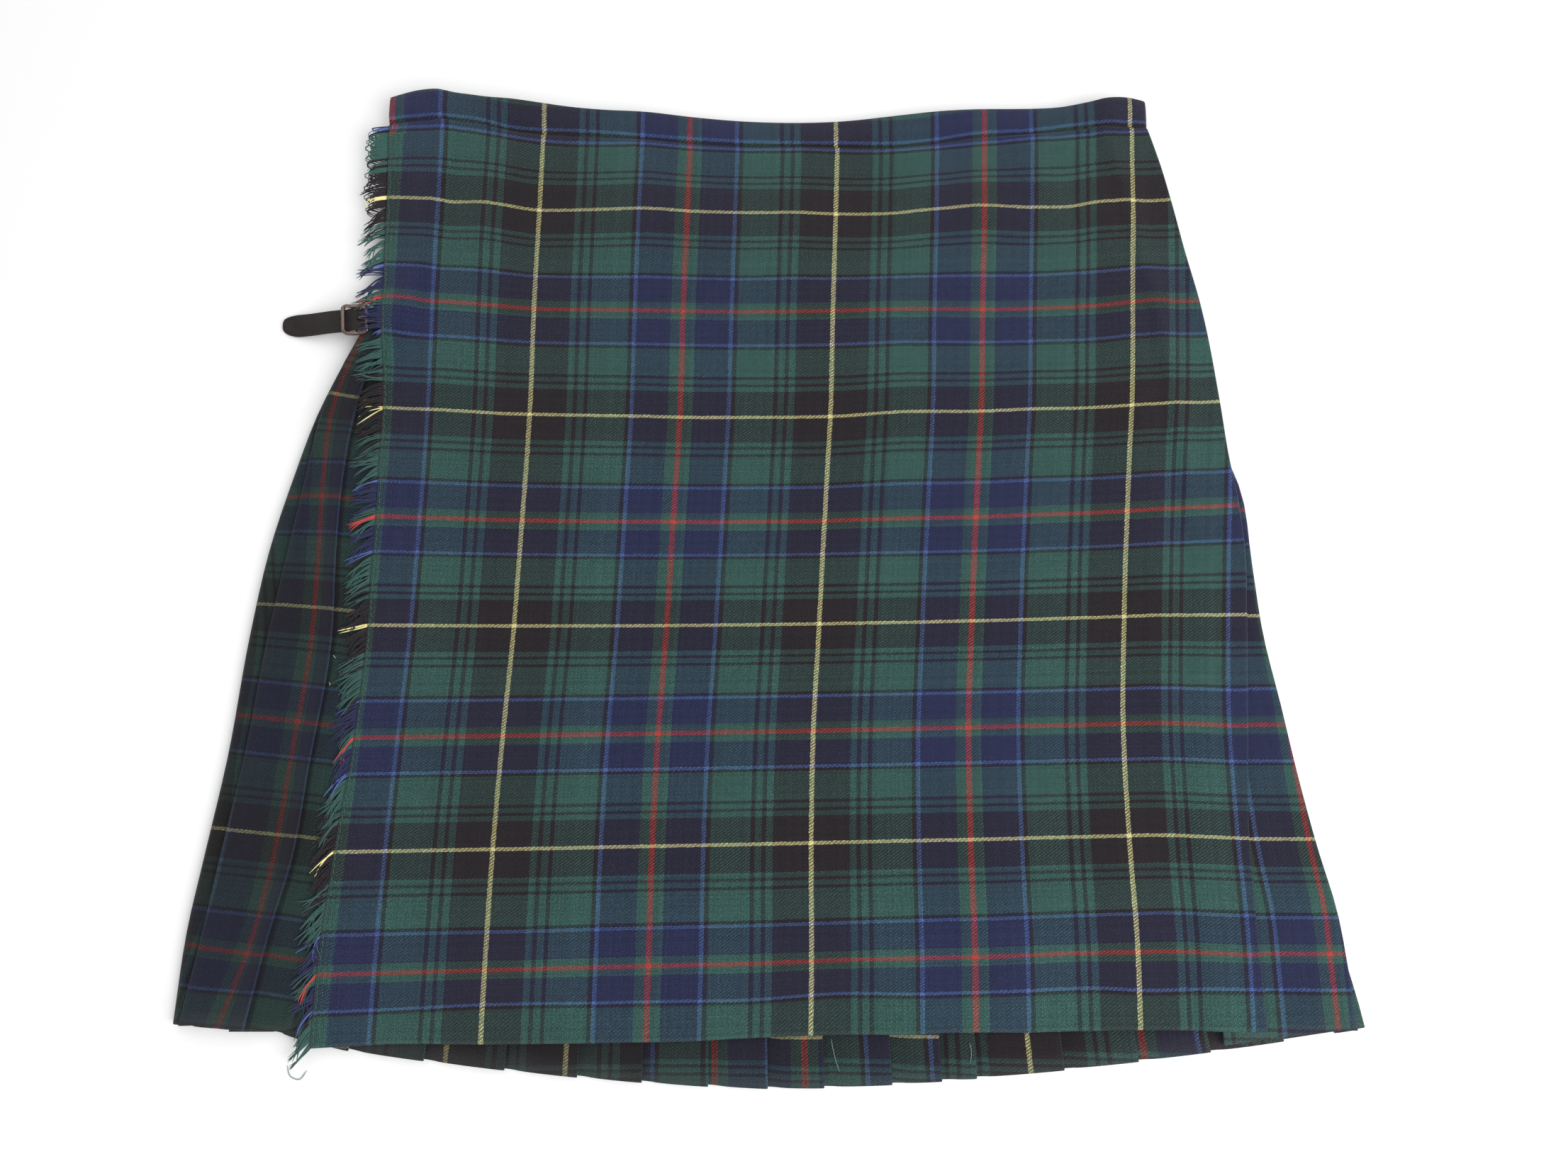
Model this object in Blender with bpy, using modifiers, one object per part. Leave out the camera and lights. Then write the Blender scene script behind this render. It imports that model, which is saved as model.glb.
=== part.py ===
"""A Scottish kilt of tartan cloth, lying flat on a surface with its front up.

Sizes are in millimetres in the frame of the laid-out garment: X runs across it, Y from the hem to the
waist, Z up from the surface. The last step centres the kilt on the origin and turns sizes to metres.
"""

import math
import random

import bmesh
import bpy
import numpy as np
from mathutils import Vector

# Driving dimensions, in millimetres
MM = 0.001
CLOTH = 1.5            # thickness of one layer of the heavy wool cloth
LAYER_STEP = 2.0       # height from one layer to the next, 0.5 more than the cloth
SEAM_GAP = 0.3         # gap left where two sewn pieces meet
BAND_WIDTH = 15.5      # height of the waistband
BAND_CLOTH = 1.7       # thickness of the waistband, cloth folded double
STRAP_WIDTH = 15.4     # five-eighths of an inch
STRAP_THICKNESS = 2.0
CENTRE_X = 8.39        # from the measured frame to the middle of the kilt's box
CENTRE_Y = -15.84

# The over apron, one row for each half repeat of the tartan down from the first yellow stripe across.
# y is the height of the row's middle, bow how far its ends rise above that, tilt how much more the right
# end rises; yellow_x is the first yellow stripe down the cloth, half_sett the width of half a repeat, and
# left and right are the edges, counted in half repeats from that stripe.
APRON_ROWS = np.array([
    (-0.73, 305.0, 14.0, -2.0, -163.7, 100.0, -1.04, 4.10),
    (-0.35, 278.5, 12.5, -1.2, -164.3, 99.9, -1.03, 4.19),
    (0.00, 252.8, 10.7, -0.5, -164.8, 99.8, -1.02, 4.26),
    (0.50, 218.0, 9.4, -0.8, -165.6, 99.6, -1.01, 4.35),
    (1.00, 182.9, 8.5, -1.0, -166.2, 99.3, -1.00, 4.45),
    (2.00, 110.5, 8.6, 1.0, -166.5, 98.4, -0.98, 4.59),
    (2.50, 76.0, 7.6, 1.8, -167.6, 97.9, -0.98, 4.66),
    (3.00, 41.6, 6.4, 2.5, -169.0, 97.6, -0.97, 4.74),
    (3.50, 8.3, 4.6, 3.0, -170.4, 97.3, -0.97, 4.79),
    (4.00, -24.9, 3.0, 3.5, -171.8, 97.1, -0.96, 4.80),
    (5.00, -92.4, 1.0, 4.9, -176.2, 97.3, -0.96, 4.80),
    (6.00, -161.4, 0.5, 5.4, -179.8, 98.3, -1.00, 4.75),
    (7.00, -232.3, 0.0, 6.9, -182.0, 99.4, -1.03, 4.74),
    (7.62, -273.5, -5.0, 3.5, -183.0, 99.6, -1.03, 4.76),
], dtype=[(name, float) for name in
          ("sett", "y", "bow", "tilt", "yellow_x", "half_sett", "left", "right")])

# Folds at the left side, at heights y: wrap is where the back turns up to the front, box_left and
# box_right are the two edges of the box pleat that lies on it.
LEFT_FOLDS = np.array([
    (320.0, -263.0, -260.0, -238.0),
    (262.0, -264.0, -261.0, -241.0),
    (230.0, -266.0, -263.0, -244.5),
    (205.0, -270.0, -267.0, -250.0),
    (176.0, -279.5, -277.0, -261.0),
    (146.0, -293.0, -290.5, -273.5),
    (112.0, -306.5, -302.5, -281.5),
    (71.0, -319.0, -309.5, -286.5),
    (24.0, -331.5, -317.5, -288.0),
    (-35.0, -341.0, -327.4, -287.5),
    (-111.0, -349.5, -337.0, -296.6),
    (-175.0, -360.0, -348.0, -304.5),
    (-215.0, -366.5, -354.5, -314.6),
    (-272.0, -371.0, -365.5, -326.5),
], dtype=[(name, float) for name in ("y", "wrap", "box_left", "box_right")])

# Folds at the right side: side is the edge of the upper side pleat, lower that of the one under it.
RIGHT_FOLDS = np.array([
    (320.0, 243.0, 240.0),
    (263.0, 257.0, 254.0),
    (190.0, 272.0, 269.0),
    (94.0, 287.0, 284.0),
    (64.0, 297.0, 294.0),
    (17.0, 301.3, 298.0),
    (-29.0, 305.6, 302.5),
    (-74.0, 313.9, 310.9),
    (-118.0, 321.6, 318.6),
    (-162.0, 330.6, 327.6),
    (-204.0, 340.6, 338.0),
    (-236.0, 344.5, 346.0),
    (-270.0, 347.6, 353.9),
], dtype=[(name, float) for name in ("y", "side", "lower")])

# The free inner edge of each knife pleat of the back, at the waist and at the hem.
PLEATS = np.array([
    (-228.5, -312.0),
    (-199.0, -264.0),
    (-169.5, -218.0),
    (-140.0, -169.0),
    (-110.5, -125.0),
    (-81.0, -86.0),
    (-51.5, -46.0),
    (-22.0, -10.0),
    (7.5, 24.0),
    (37.0, 65.0),
    (66.5, 95.0),
    (96.0, 124.0),
    (125.5, 169.0),
    (155.0, 216.0),
    (184.5, 260.0),
    (214.0, 303.0),
], dtype=[("waist", float), ("hem", float)])
PLEAT_RUN_UP = 8.0      # length of the slope that lifts a pleat's cloth over the next pleat's fold
PLEAT_CLEARANCE = 12.5  # from a pleat's inner edge to the outer fold of the next
BACK_ROWS = (0.0, 0.10, 0.19, 0.28, 0.38, 0.50, 0.62, 0.75, 0.88, 1.0)
TUCKED_IN = 13.0        # how far the inner layers of the back reach up inside the waistband
UPPER_HEM_RISE = 3.0    # how far the hem of the back's upper layers lies above that of the pleats
LEFT_HEM_Y = -271.0     # hem at the left side
RIGHT_TOP_Y = 317.0     # seam under the waistband at the right side
RIGHT_HEM_Y = -272.0    # hem at the right side

# Soft ridges pressed up in the over apron: middle, length, width, height and lean from straight down.
APRON_RIDGES = np.array([
    (-196.0, 262.0, 120.0, 34.0, 2.2, 8.0),
    (-92.0, 258.0, 110.0, 40.0, 1.8, -6.0),
    (8.0, 250.0, 130.0, 44.0, 2.4, 4.0),
    (92.0, 262.0, 100.0, 36.0, 1.6, -10.0),
    (178.0, 258.0, 140.0, 38.0, 2.8, -16.0),
    (238.0, 30.0, 420.0, 40.0, 2.6, -3.0),
    (-20.0, -212.0, 120.0, 60.0, 2.0, 6.0),
    (126.0, -190.0, 170.0, 52.0, 2.4, -4.0),
    (-150.0, -150.0, 200.0, 56.0, 1.8, 8.0),
    (60.0, 60.0, 180.0, 64.0, 1.6, 14.0),
], dtype=[(name, float) for name in ("x", "y", "length", "width", "height", "lean")])

RETURN_DEPTH = 25.0     # how far the over apron's right edge is folded under
# Columns of the over apron: distances from its left edge, and from its right fold, with some between
APRON_LEFT_COLUMNS = (0.0, 4.0, 8.0, 12.0, 16.0, 21.0, 26.0, 32.0, 40.0)
APRON_RIGHT_COLUMNS = (60.0, 48.0, 39.0, 34.5, 30.0, 16.0, 1.0)
APRON_COLUMNS = 12
# Rows of the over apron, closer together where the strap lifts it
APRON_ROW_SETTS = (-0.73, -0.4, 0.0, 0.35, 0.7, 0.9, 1.05, 1.21, 1.37, 1.55, 1.8, 2.2, 2.7, 3.2, 3.75,
                   4.3, 4.9, 5.5, 6.1, 6.65, 7.15, 7.62)

# The strap and its buckle at the left hip
STRAP_Y = 177.2         # middle of the strap at the buckle
STRAP_TURN = 4.2        # degrees that the strap's tip points down towards the hem
STRAP_PATH = np.array([(-257.0, 12.8), (-266.0, 12.8), (-272.5, 12.8), (-277.0, 12.8), (-279.6, 13.8),
                       (-282.5, 14.4), (-285.4, 13.8), (-288.0, 12.8), (-292.5, 12.2), (-300.0, 10.6),
                       (-308.0, 7.8), (-316.0, 4.8), (-323.0, 2.5), (-328.0, 1.5), (-332.5, 1.2)],
                      dtype=[("x", float), ("z", float)])
STRAP_TIP = 13.0        # length over which the strap narrows to its rounded point
BUCKLE_X = -282.5
BUCKLE_LENGTH = 15.6    # between the middles of the end bars
BUCKLE_WIDTH = 18.8     # between the middles of the side bars
BUCKLE_BAR = (2.6, 1.8) # width and thickness of the frame's bars
BUCKLE_Z = 15.3         # middle of the end bars
BUCKLE_BOW = 2.1        # how much lower the frame's middle lies
BUCKLE_CORNER = 2.6
PIN_RADIUS = 0.8
PIN_DROP = 0.9          # how far the pin's middle lies below the side bars' middle
PRONG_RADIUS = 0.75

# The fringe
STRAND_COUNT = 110
STRAND_LENGTH = 18.0
SHORT_STRAND = 4.6        # beside the buckle
STRAND_ROOT = (2.3, 1.1)  # width and thickness at the root
STRAND_TIP = 0.42         # size at the tip, as a share of the root
STRAND_JOINTS = (0.3, 0.64, 1.0)
FRINGE_STRIP = 1.6        # width of the strip that the strands grow from
FRINGE_GAP = 0.6          # from the over apron's edge, which leans where the cloth climbs, to the strip
SEED = 7


def layer(number):
    """Height of the middle of the cloth in a layer, counted up from the surface."""
    return CLOTH / 2 + LAYER_STEP * number


def curve_through(knots, values, at):
    """Smooth curve through the knots: on each span a cubic whose slopes are those of its neighbours."""
    order = np.argsort(knots)
    knots, values = np.asarray(knots)[order], np.asarray(values)[order]
    slopes = np.gradient(values, knots)
    at = np.clip(at, knots[0], knots[-1])
    span = np.clip(np.searchsorted(knots, at, side="right") - 1, 0, len(knots) - 2)
    width = knots[span + 1] - knots[span]
    t = (at - knots[span]) / width
    return (values[span] * (1 + 2 * t) * (1 - t) ** 2
            + slopes[span] * width * t * (1 - t) ** 2
            + values[span + 1] * t * t * (3 - 2 * t)
            - slopes[span + 1] * width * t * t * (1 - t))


def from_table(table, key, column, at):
    return curve_through(table[key], table[column], at)


def step(x):
    """Soft step from 0 at x = 0 to 1 at x = 1."""
    t = np.clip(x, 0.0, 1.0)
    return t * t * (3 - 2 * t)


def seam_y(x):
    """Height of the seam below the waistband, which rises to both ends."""
    top = APRON_ROWS[0]
    reach = x / 260.0
    return top["y"] + top["bow"] * reach ** 2 + top["tilt"] * reach


def back_hem_y(x):
    """Hem of the back, lowest in the middle."""
    return -306.0 + 34.0 * (np.abs(x) / 350.0) ** 1.6


def apron_point(sett, across):
    """Place of a thread crossing of the over apron, both counted in half repeats."""
    x = (from_table(APRON_ROWS, "sett", "yellow_x", sett)
         + across * from_table(APRON_ROWS, "sett", "half_sett", sett))
    reach = x / 260.0
    y = (from_table(APRON_ROWS, "sett", "y", sett)
         + from_table(APRON_ROWS, "sett", "bow", sett) * reach ** 2
         + from_table(APRON_ROWS, "sett", "tilt", sett) * reach)
    return x, y


def apron_edge(sett, side):
    """Place of the over apron's left or right edge in a row."""
    return apron_point(sett, from_table(APRON_ROWS, "sett", side, sett))


def ridges(x, y):
    """Height of the soft ridges: each is a long hump that fades to both sides and both ends."""
    height = np.zeros(np.broadcast(x, y).shape)
    for ridge in APRON_RIDGES:
        lean = math.radians(ridge["lean"])
        along = -(y - ridge["y"]) * math.cos(lean) - (x - ridge["x"]) * math.sin(lean)
        across = (x - ridge["x"]) * math.cos(lean) - (y - ridge["y"]) * math.sin(lean)
        height += (ridge["height"] * np.exp(-(across / (0.5 * ridge["width"])) ** 2)
                   * np.exp(-(along / (0.5 * ridge["length"])) ** 4))
    return height


def apron_height(x, y, right_edge):
    """Height of the over apron: it lies on the under apron, climbs over the box pleat at the left and
    over its own folded edge at the right, and is lifted by the strap."""
    box_edge = from_table(LEFT_FOLDS, "y", "box_right", y)
    on_box = step((box_edge + 20.0 - x) / 18.0)
    on_return = step((x - right_edge + RETURN_DEPTH + 14.0) / 9.0)
    at_strap = step((-234.0 - x) / 18.0) * np.exp(-((y - STRAP_Y - 1.5) / 17.0) ** 4)
    at_band = step((y - seam_y(x) + 24.0) / 20.0)
    inside = step((x + 258.0) / 30.0) * step((right_edge - 6.0 - x) / 24.0)
    return (layer(4) + 2 * LAYER_STEP * on_box + LAYER_STEP * on_return
            + 3.0 * at_strap + 0.6 * at_band + ridges(x, y) * inside)


def over_apron_grid():
    """Rows of points from the left edge to the right fold, round it and back to the edge folded under."""
    grid = []
    for sett in APRON_ROW_SETTS:
        left = from_table(APRON_ROWS, "sett", "left", sett)
        right = from_table(APRON_ROWS, "sett", "right", sett)
        edge_x, edge_y = apron_edge(sett, "right")
        half_sett = from_table(APRON_ROWS, "sett", "half_sett", sett)
        from_left = left + np.array(APRON_LEFT_COLUMNS) / half_sett
        from_right = right - np.array(APRON_RIGHT_COLUMNS) / half_sett
        middle = np.linspace(from_left[-1], from_right[0], APRON_COLUMNS + 2)[1:-1]
        x, y = apron_point(sett, np.concatenate([from_left, middle, from_right]))
        z = apron_height(x, y, edge_x)
        top = z[-1]
        folded = [(edge_x, edge_y, top - LAYER_STEP / 2)]
        for inward in (1.0, 9.0, 17.0, RETURN_DEPTH):
            folded.append((edge_x - inward, edge_y, top - LAYER_STEP))
        grid.append(list(zip(x, y, z)) + folded)
    return np.array(grid)


def under_apron_grid():
    """The under apron, one layer that starts under the box pleat and stops short of the right fold."""
    grid = []
    for share in BACK_ROWS:
        y_left = LEFT_FOLDS["y"][0] * (1 - share) + LEFT_HEM_Y * share
        y_right = RIGHT_TOP_Y * (1 - share) + RIGHT_HEM_Y * share
        box_left = from_table(LEFT_FOLDS, "y", "box_left", y_left)
        box_right = from_table(LEFT_FOLDS, "y", "box_right", y_left)
        left = box_right - 0.25 * (box_right - box_left)
        right = fold_edge_x(y_right) - RETURN_DEPTH - 6.0
        x = np.linspace(left, right, 12)
        y = seam_y(x) * (1 - share) + (-270.0 - 3.0 * step((-290.0 - x) / 20.0)) * share
        grid.append(np.stack([x, y, np.full_like(x, layer(3))], axis=1))
    return np.array(grid)


def back_section(share):
    """Section of the back at a share of the way from waist to hem: (x, z, tucked) from the box pleat's
    inner end, round the left side, along the knife pleats and round the right side to the apron's fold."""
    y_left = LEFT_FOLDS["y"][0] * (1 - share) + LEFT_HEM_Y * share
    y_right = RIGHT_TOP_Y * (1 - share) + RIGHT_HEM_Y * share
    wrap = from_table(LEFT_FOLDS, "y", "wrap", y_left)
    box_left = from_table(LEFT_FOLDS, "y", "box_left", y_left)
    box_right = from_table(LEFT_FOLDS, "y", "box_right", y_left)
    side = from_table(RIGHT_FOLDS, "y", "side", y_right)
    lower = from_table(RIGHT_FOLDS, "y", "lower", y_right)
    box = box_right - box_left
    half = LAYER_STEP / 2

    points = [(box_right - 0.25 * box, layer(4), 1), (box_right - half, layer(4), 0),
              (box_right, layer(4) + half, 0), (box_right - half, layer(5), 0)]
    points += [(box_left + box * part, layer(5), 0) for part in (0.66, 0.33)]
    points += [(box_left + half, layer(5), 0), (box_left, layer(5) - half, 0),
               (box_left + half, layer(4), 0), (box_left + 0.42 * box, layer(4), 1),
               (box_left + 0.42 * box + half, layer(4) - half, 1), (box_left + 0.42 * box, layer(3), 1)]
    points += [(wrap + inward, height, 0) for inward, height in
               ((3.2, layer(3)), (1.0, layer(3) - 0.9), (0.0, layer(2)), (0.0, layer(1)),
                (1.0, layer(0) + 0.9), (3.2, layer(0)))]

    edges = PLEATS["waist"] * (1 - share) + PLEATS["hem"] * share
    before = wrap + 4.0
    for edge in edges:
        fold = before + PLEAT_CLEARANCE
        points += [(fold - PLEAT_RUN_UP - half, layer(0), 0), (fold - half, layer(2), 0),
                   (edge - half, layer(2), 1), (edge, layer(1) + half, 1), (edge - half, layer(1), 1),
                   (fold, layer(1), 0), (fold - half, layer(0) + half, 0), (fold, layer(0), 0)]
        before = edge

    inner = side - 12.0
    points += [(lower - half, layer(0), 0), (lower, layer(0) + half, 0), (lower - half, layer(1), 0),
               (inner, layer(1), 1), (inner - half, layer(1) + half, 1), (inner, layer(2), 1),
               (side - half, layer(2), 0), (side, layer(2) + half, 0), (side - half, layer(3), 0)]
    fold_x = fold_edge_x(y_right)
    points += [(side + (fold_x - RETURN_DEPTH - side) * part, layer(3), 0) for part in (0.5, 1.0)]
    return points


def fold_edge_x(y):
    """Place across of the over apron's right fold at a height."""
    setts = APRON_ROWS["sett"]
    x, height = apron_edge(setts, "right")
    return float(np.interp(y, height[::-1], x[::-1]))


def back_grid():
    """The pleated back: its section at each row, with the inner layers tucked into the waistband. The hem
    of the upper layers rises inwards from the folds at both sides."""
    grid = []
    for share in BACK_ROWS:
        section = back_section(share)
        upper = [x for x, z, _ in section if z > layer(2)]
        row = []
        for x, z, tucked in section:
            inward = min(x - min(upper), max(upper) - x) if z > layer(2) else 0.0
            hem = back_hem_y(x) + UPPER_HEM_RISE * step(inward / 16.0)
            y = seam_y(x) * (1 - share) + hem * share
            if share == 0.0 and tucked:
                y += TUCKED_IN
            row.append((x, y, z))
        grid.append(row)
    return np.array(grid)


def waistband_grid():
    """The waistband: one strip from the over apron's left edge across the front, round the right side,
    along the back, round the left side and over the box pleat to the end of the under apron."""
    front = layer(4) + 0.6
    left, _ = apron_edge(APRON_ROWS["sett"][0], "left")
    right = RIGHT_FOLDS["side"][0] + 3.5
    wrap = LEFT_FOLDS["wrap"][0]
    floor = BAND_CLOTH / 2
    box = LEFT_FOLDS["box_right"][0]
    path = [(x, front + 2 * LAYER_STEP) for x in (left, -254.0, box + 2.0)]
    path += [(box + 8.0, front + LAYER_STEP), (box + 14.0, front)]
    path += [(x, front) for x in np.linspace(-200.0, 190.0, 13)]
    path += [(right - 36.0, front), (right - 27.0, front + LAYER_STEP), (right - 14.0, front + LAYER_STEP)]
    path += [(right - 3.0, front + LAYER_STEP), (right - 0.9, front + LAYER_STEP - 1.0), (right, 8.6),
             (right, 3.6), (right - 0.9, floor + 1.0), (right - 3.0, floor)]
    path += [(x, floor) for x in np.linspace(200.0, -220.0, 9)]
    path += [(wrap + 2.2, floor), (wrap - 0.2, floor + 1.0), (wrap - 1.2, 3.4), (wrap - 1.2, 8.2),
             (wrap - 0.2, layer(5) - 1.0), (wrap + 2.2, layer(5))]
    path += [(box + 1.0, layer(5)), (box + 7.0, layer(4)), (box + 13.0, layer(3))]
    path += [(x, layer(3)) for x in np.linspace(-190.0, RIGHT_FOLDS["side"][0] - RETURN_DEPTH - 10.0, 8)]
    grid = []
    for share in (0.0, 0.5, 1.0):
        row = []
        for x, z in path:
            lower = 0.0 if z >= front else 1.0
            y = seam_y(x) + SEAM_GAP + (BAND_WIDTH - lower) * share
            row.append((x, y, z))
        grid.append(row)
    return np.array(grid)


def strap_middle(x):
    """Height across the cloth of the strap's middle line at x."""
    return STRAP_Y + (x - BUCKLE_X) * math.tan(math.radians(STRAP_TURN))


def strap_grid():
    """The strap: under both end bars of the buckle, over its pin, then down to the surface at its tip."""
    grid = []
    tip = STRAP_PATH["x"][-1]
    for x, z in STRAP_PATH:
        to_tip = (x - tip) / STRAP_TIP
        half_width = STRAP_WIDTH / 2 * (1.0 if to_tip > 1 else 0.32 + 0.68 * math.sqrt(1 - (1 - to_tip) ** 2))
        grid.append([(x, strap_middle(x) + half_width * part, z) for part in (-1.0, -0.5, 0.0, 0.5, 1.0)])
    return np.array(grid)


def ground_top(x, y):
    """Top of what lies under the fringe at a place: wrap, box pleat or under apron."""
    wrap = from_table(LEFT_FOLDS, "y", "wrap", y)
    box_left = from_table(LEFT_FOLDS, "y", "box_left", y)
    box_right = from_table(LEFT_FOLDS, "y", "box_right", y)
    if x < wrap - 1.0:
        return 0.0
    if box_left - 1.0 < x < box_right + 1.5:
        return layer(5) + CLOTH / 2
    return layer(3) + CLOTH / 2


def clear_height(x, y):
    """Lowest height at which a strand may pass a place."""
    return max(ground_top(x + shift, y + lift) for shift in (-6.0, -3.0, 0.0, 3.0) for lift in (-2.5, 2.5))


# Making the solids

def start_scene():
    for item in list(bpy.data.objects):
        bpy.data.objects.remove(item, do_unlink=True)
    collection = bpy.data.collections.new("kilt")
    bpy.context.scene.collection.children.link(collection)
    return collection


def finish_material(name, colour, roughness, metallic=0.0):
    material = bpy.data.materials.new(name)
    material.use_nodes = True
    shader = material.node_tree.nodes["Principled BSDF"]
    shader.inputs["Base Color"].default_value = (*colour, 1.0)
    shader.inputs["Roughness"].default_value = roughness
    shader.inputs["Metallic"].default_value = metallic
    return material


def centred(points):
    """Points of the measured frame, centred on the origin and turned to metres."""
    return (np.asarray(points, dtype=float) + (CENTRE_X, CENTRE_Y, 0.0)) * MM


def add_object(collection, name, mesh, material):
    mesh.materials.append(material)
    item = bpy.data.objects.new(name, mesh)
    collection.objects.link(item)
    return item


def add_sheet(collection, name, grid, thickness, material):
    """A wall of even thickness on a grid of rows of points, half of it to each side."""
    rows, columns = grid.shape[:2]
    number = np.arange(rows * columns).reshape(rows, columns)
    faces = np.stack([number[:-1, :-1], number[1:, :-1], number[1:, 1:], number[:-1, 1:]], axis=-1)
    mesh = bpy.data.meshes.new(name)
    mesh.from_pydata(centred(grid.reshape(-1, 3)).tolist(), [], faces.reshape(-1, 4).tolist())
    mesh.update()
    item = add_object(collection, name, mesh, material)
    wall = item.modifiers.new("wall", "SOLIDIFY")
    wall.thickness = thickness * MM
    wall.offset = 0.0
    wall.use_even_offset = True
    return item


def add_fringe(collection, material):
    """The fringe: a narrow strip beside the over apron's left edge, with a bent, tapering strand drawn
    out of each second cell of its outer side."""
    generator = random.Random(SEED)
    cells = 2 * STRAND_COUNT + 1
    edge = over_apron_grid()[::-1, 0]
    edge_y = np.linspace(edge[-1, 1] - 1.5, edge[0, 1] + 0.5, cells + 1)
    edge_x = np.interp(edge_y, edge[:, 1], edge[:, 0])
    edge_z = np.interp(edge_y, edge[:, 1], edge[:, 2])
    thick = STRAND_ROOT[1] / 2
    inner = edge_x - FRINGE_GAP
    outer = inner - FRINGE_STRIP
    corners = np.stack([np.stack([outer, edge_y, edge_z - thick], axis=1),
                        np.stack([outer, edge_y, edge_z + thick], axis=1),
                        np.stack([inner, edge_y, edge_z + thick], axis=1),
                        np.stack([inner, edge_y, edge_z - thick], axis=1)], axis=1)
    mesh_maker = bmesh.new()
    rings = [[mesh_maker.verts.new(point) for point in centred(ring)] for ring in corners]
    mesh_maker.faces.new(rings[0])
    mesh_maker.faces.new(rings[-1][::-1])
    roots = []
    for cell in range(cells):
        for side in range(4):
            after = (side + 1) % 4
            face = mesh_maker.faces.new((rings[cell][side], rings[cell + 1][side],
                                         rings[cell + 1][after], rings[cell][after]))
            if side == 0 and cell % 2 == 1:
                roots.append((face, outer[cell], 0.5 * (edge_y[cell] + edge_y[cell + 1]),
                              0.5 * (edge_z[cell] + edge_z[cell + 1])))
    for face, x, y, z in roots:
        grow_strand(mesh_maker, face, x, y, z, generator)
    bmesh.ops.recalc_face_normals(mesh_maker, faces=mesh_maker.faces)
    mesh = bpy.data.meshes.new("apron_fringe")
    mesh_maker.to_mesh(mesh)
    mesh_maker.free()
    return add_object(collection, "apron_fringe", mesh, material)


def grow_strand(mesh_maker, face, x, y, z, generator):
    """Draws one strand out of a cell: it leaves to the left, droops and turns towards the hem."""
    near_buckle = -14.0 < y - STRAP_Y < 21.0
    length = (SHORT_STRAND if near_buckle else STRAND_LENGTH) * generator.uniform(0.86, 1.08)
    droop = generator.uniform(0.18, 0.42) * length
    size = 1.0
    for share in STRAND_JOINTS:
        place_x = x - length * share
        place_y = y - droop * share ** 1.8
        lowest = clear_height(place_x, place_y) + STRAND_ROOT[1] / 2 + 0.5
        place_z = max(lowest, z - (1.0 if near_buckle else 3.4) * share ** 2)
        narrowed = 1 + (STRAND_TIP - 1) * share
        ratio = narrowed / size
        size = narrowed
        grown = bmesh.ops.extrude_discrete_faces(mesh_maker, faces=[face])
        face = grown["faces"][0]
        middle = face.calc_center_median()
        target = Vector(centred((place_x, place_y, place_z)))
        for corner in face.verts:
            offset = corner.co - middle
            corner.co = target + offset * ratio


def add_tube(collection, name, points, radius, material):
    """A round rod along a line of points, with closed ends."""
    curve = bpy.data.curves.new(name, "CURVE")
    curve.dimensions = "3D"
    curve.bevel_depth = radius * MM
    curve.bevel_resolution = 1
    curve.use_fill_caps = True
    spline = curve.splines.new("POLY")
    spline.points.add(len(points) - 1)
    for target, place in zip(spline.points, centred(points)):
        target.co = (*place, 1.0)
    curve.materials.append(material)
    item = bpy.data.objects.new(name, curve)
    collection.objects.link(item)
    return item


def buckle_place(along, across, height):
    """Place on the buckle: along the strap and across it from the buckle's middle, and the height."""
    turn = math.radians(STRAP_TURN)
    return (BUCKLE_X + along * math.cos(turn) - across * math.sin(turn),
            STRAP_Y + along * math.sin(turn) + across * math.cos(turn), height)


def buckle_height(along):
    """Height of the frame's middle: highest at the end bars, bowed down between them."""
    return BUCKLE_Z - BUCKLE_BOW * (1 - (2 * along / BUCKLE_LENGTH) ** 2)


def add_buckle_frame(collection, material):
    """The frame: a rounded bar carried round a rounded rectangle, bowed so that its middle lies lower."""
    corner = BUCKLE_CORNER
    path = []
    for quarter in range(4):
        start = math.pi / 2 * quarter
        middle = ((BUCKLE_LENGTH / 2 - corner) * (1 if quarter in (0, 3) else -1),
                  (BUCKLE_WIDTH / 2 - corner) * (1 if quarter in (0, 1) else -1))
        for part in range(5):
            angle = start + math.pi / 8 * part
            path.append((middle[0] + corner * math.cos(angle), middle[1] + corner * math.sin(angle),
                         math.cos(angle), math.sin(angle)))
        if quarter % 2 == 0:
            path.append((0.0, path[-1][1], 0.0, path[-1][3]))
    width, thickness = BUCKLE_BAR
    around = np.linspace(0.0, 2 * math.pi, 8, endpoint=False)
    reach = np.sign(np.cos(around)) * np.abs(np.cos(around)) ** 0.7 * width / 2
    rise = np.sign(np.sin(around)) * np.abs(np.sin(around)) ** 0.7 * thickness / 2
    mesh_maker = bmesh.new()
    rings = []
    for along, across, out_x, out_y in path:
        ring = [buckle_place(along + out_x * r, across + out_y * r, buckle_height(along) + h)
                for r, h in zip(reach, rise)]
        rings.append([mesh_maker.verts.new(point) for point in centred(ring)])
    for number, ring in enumerate(rings):
        following = rings[(number + 1) % len(rings)]
        for side in range(8):
            after = (side + 1) % 8
            mesh_maker.faces.new((ring[side], following[side], following[after], ring[after]))
    bmesh.ops.recalc_face_normals(mesh_maker, faces=mesh_maker.faces)
    mesh = bpy.data.meshes.new("buckle_frame")
    mesh_maker.to_mesh(mesh)
    mesh_maker.free()
    return add_object(collection, "buckle_frame", mesh, material)


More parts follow.
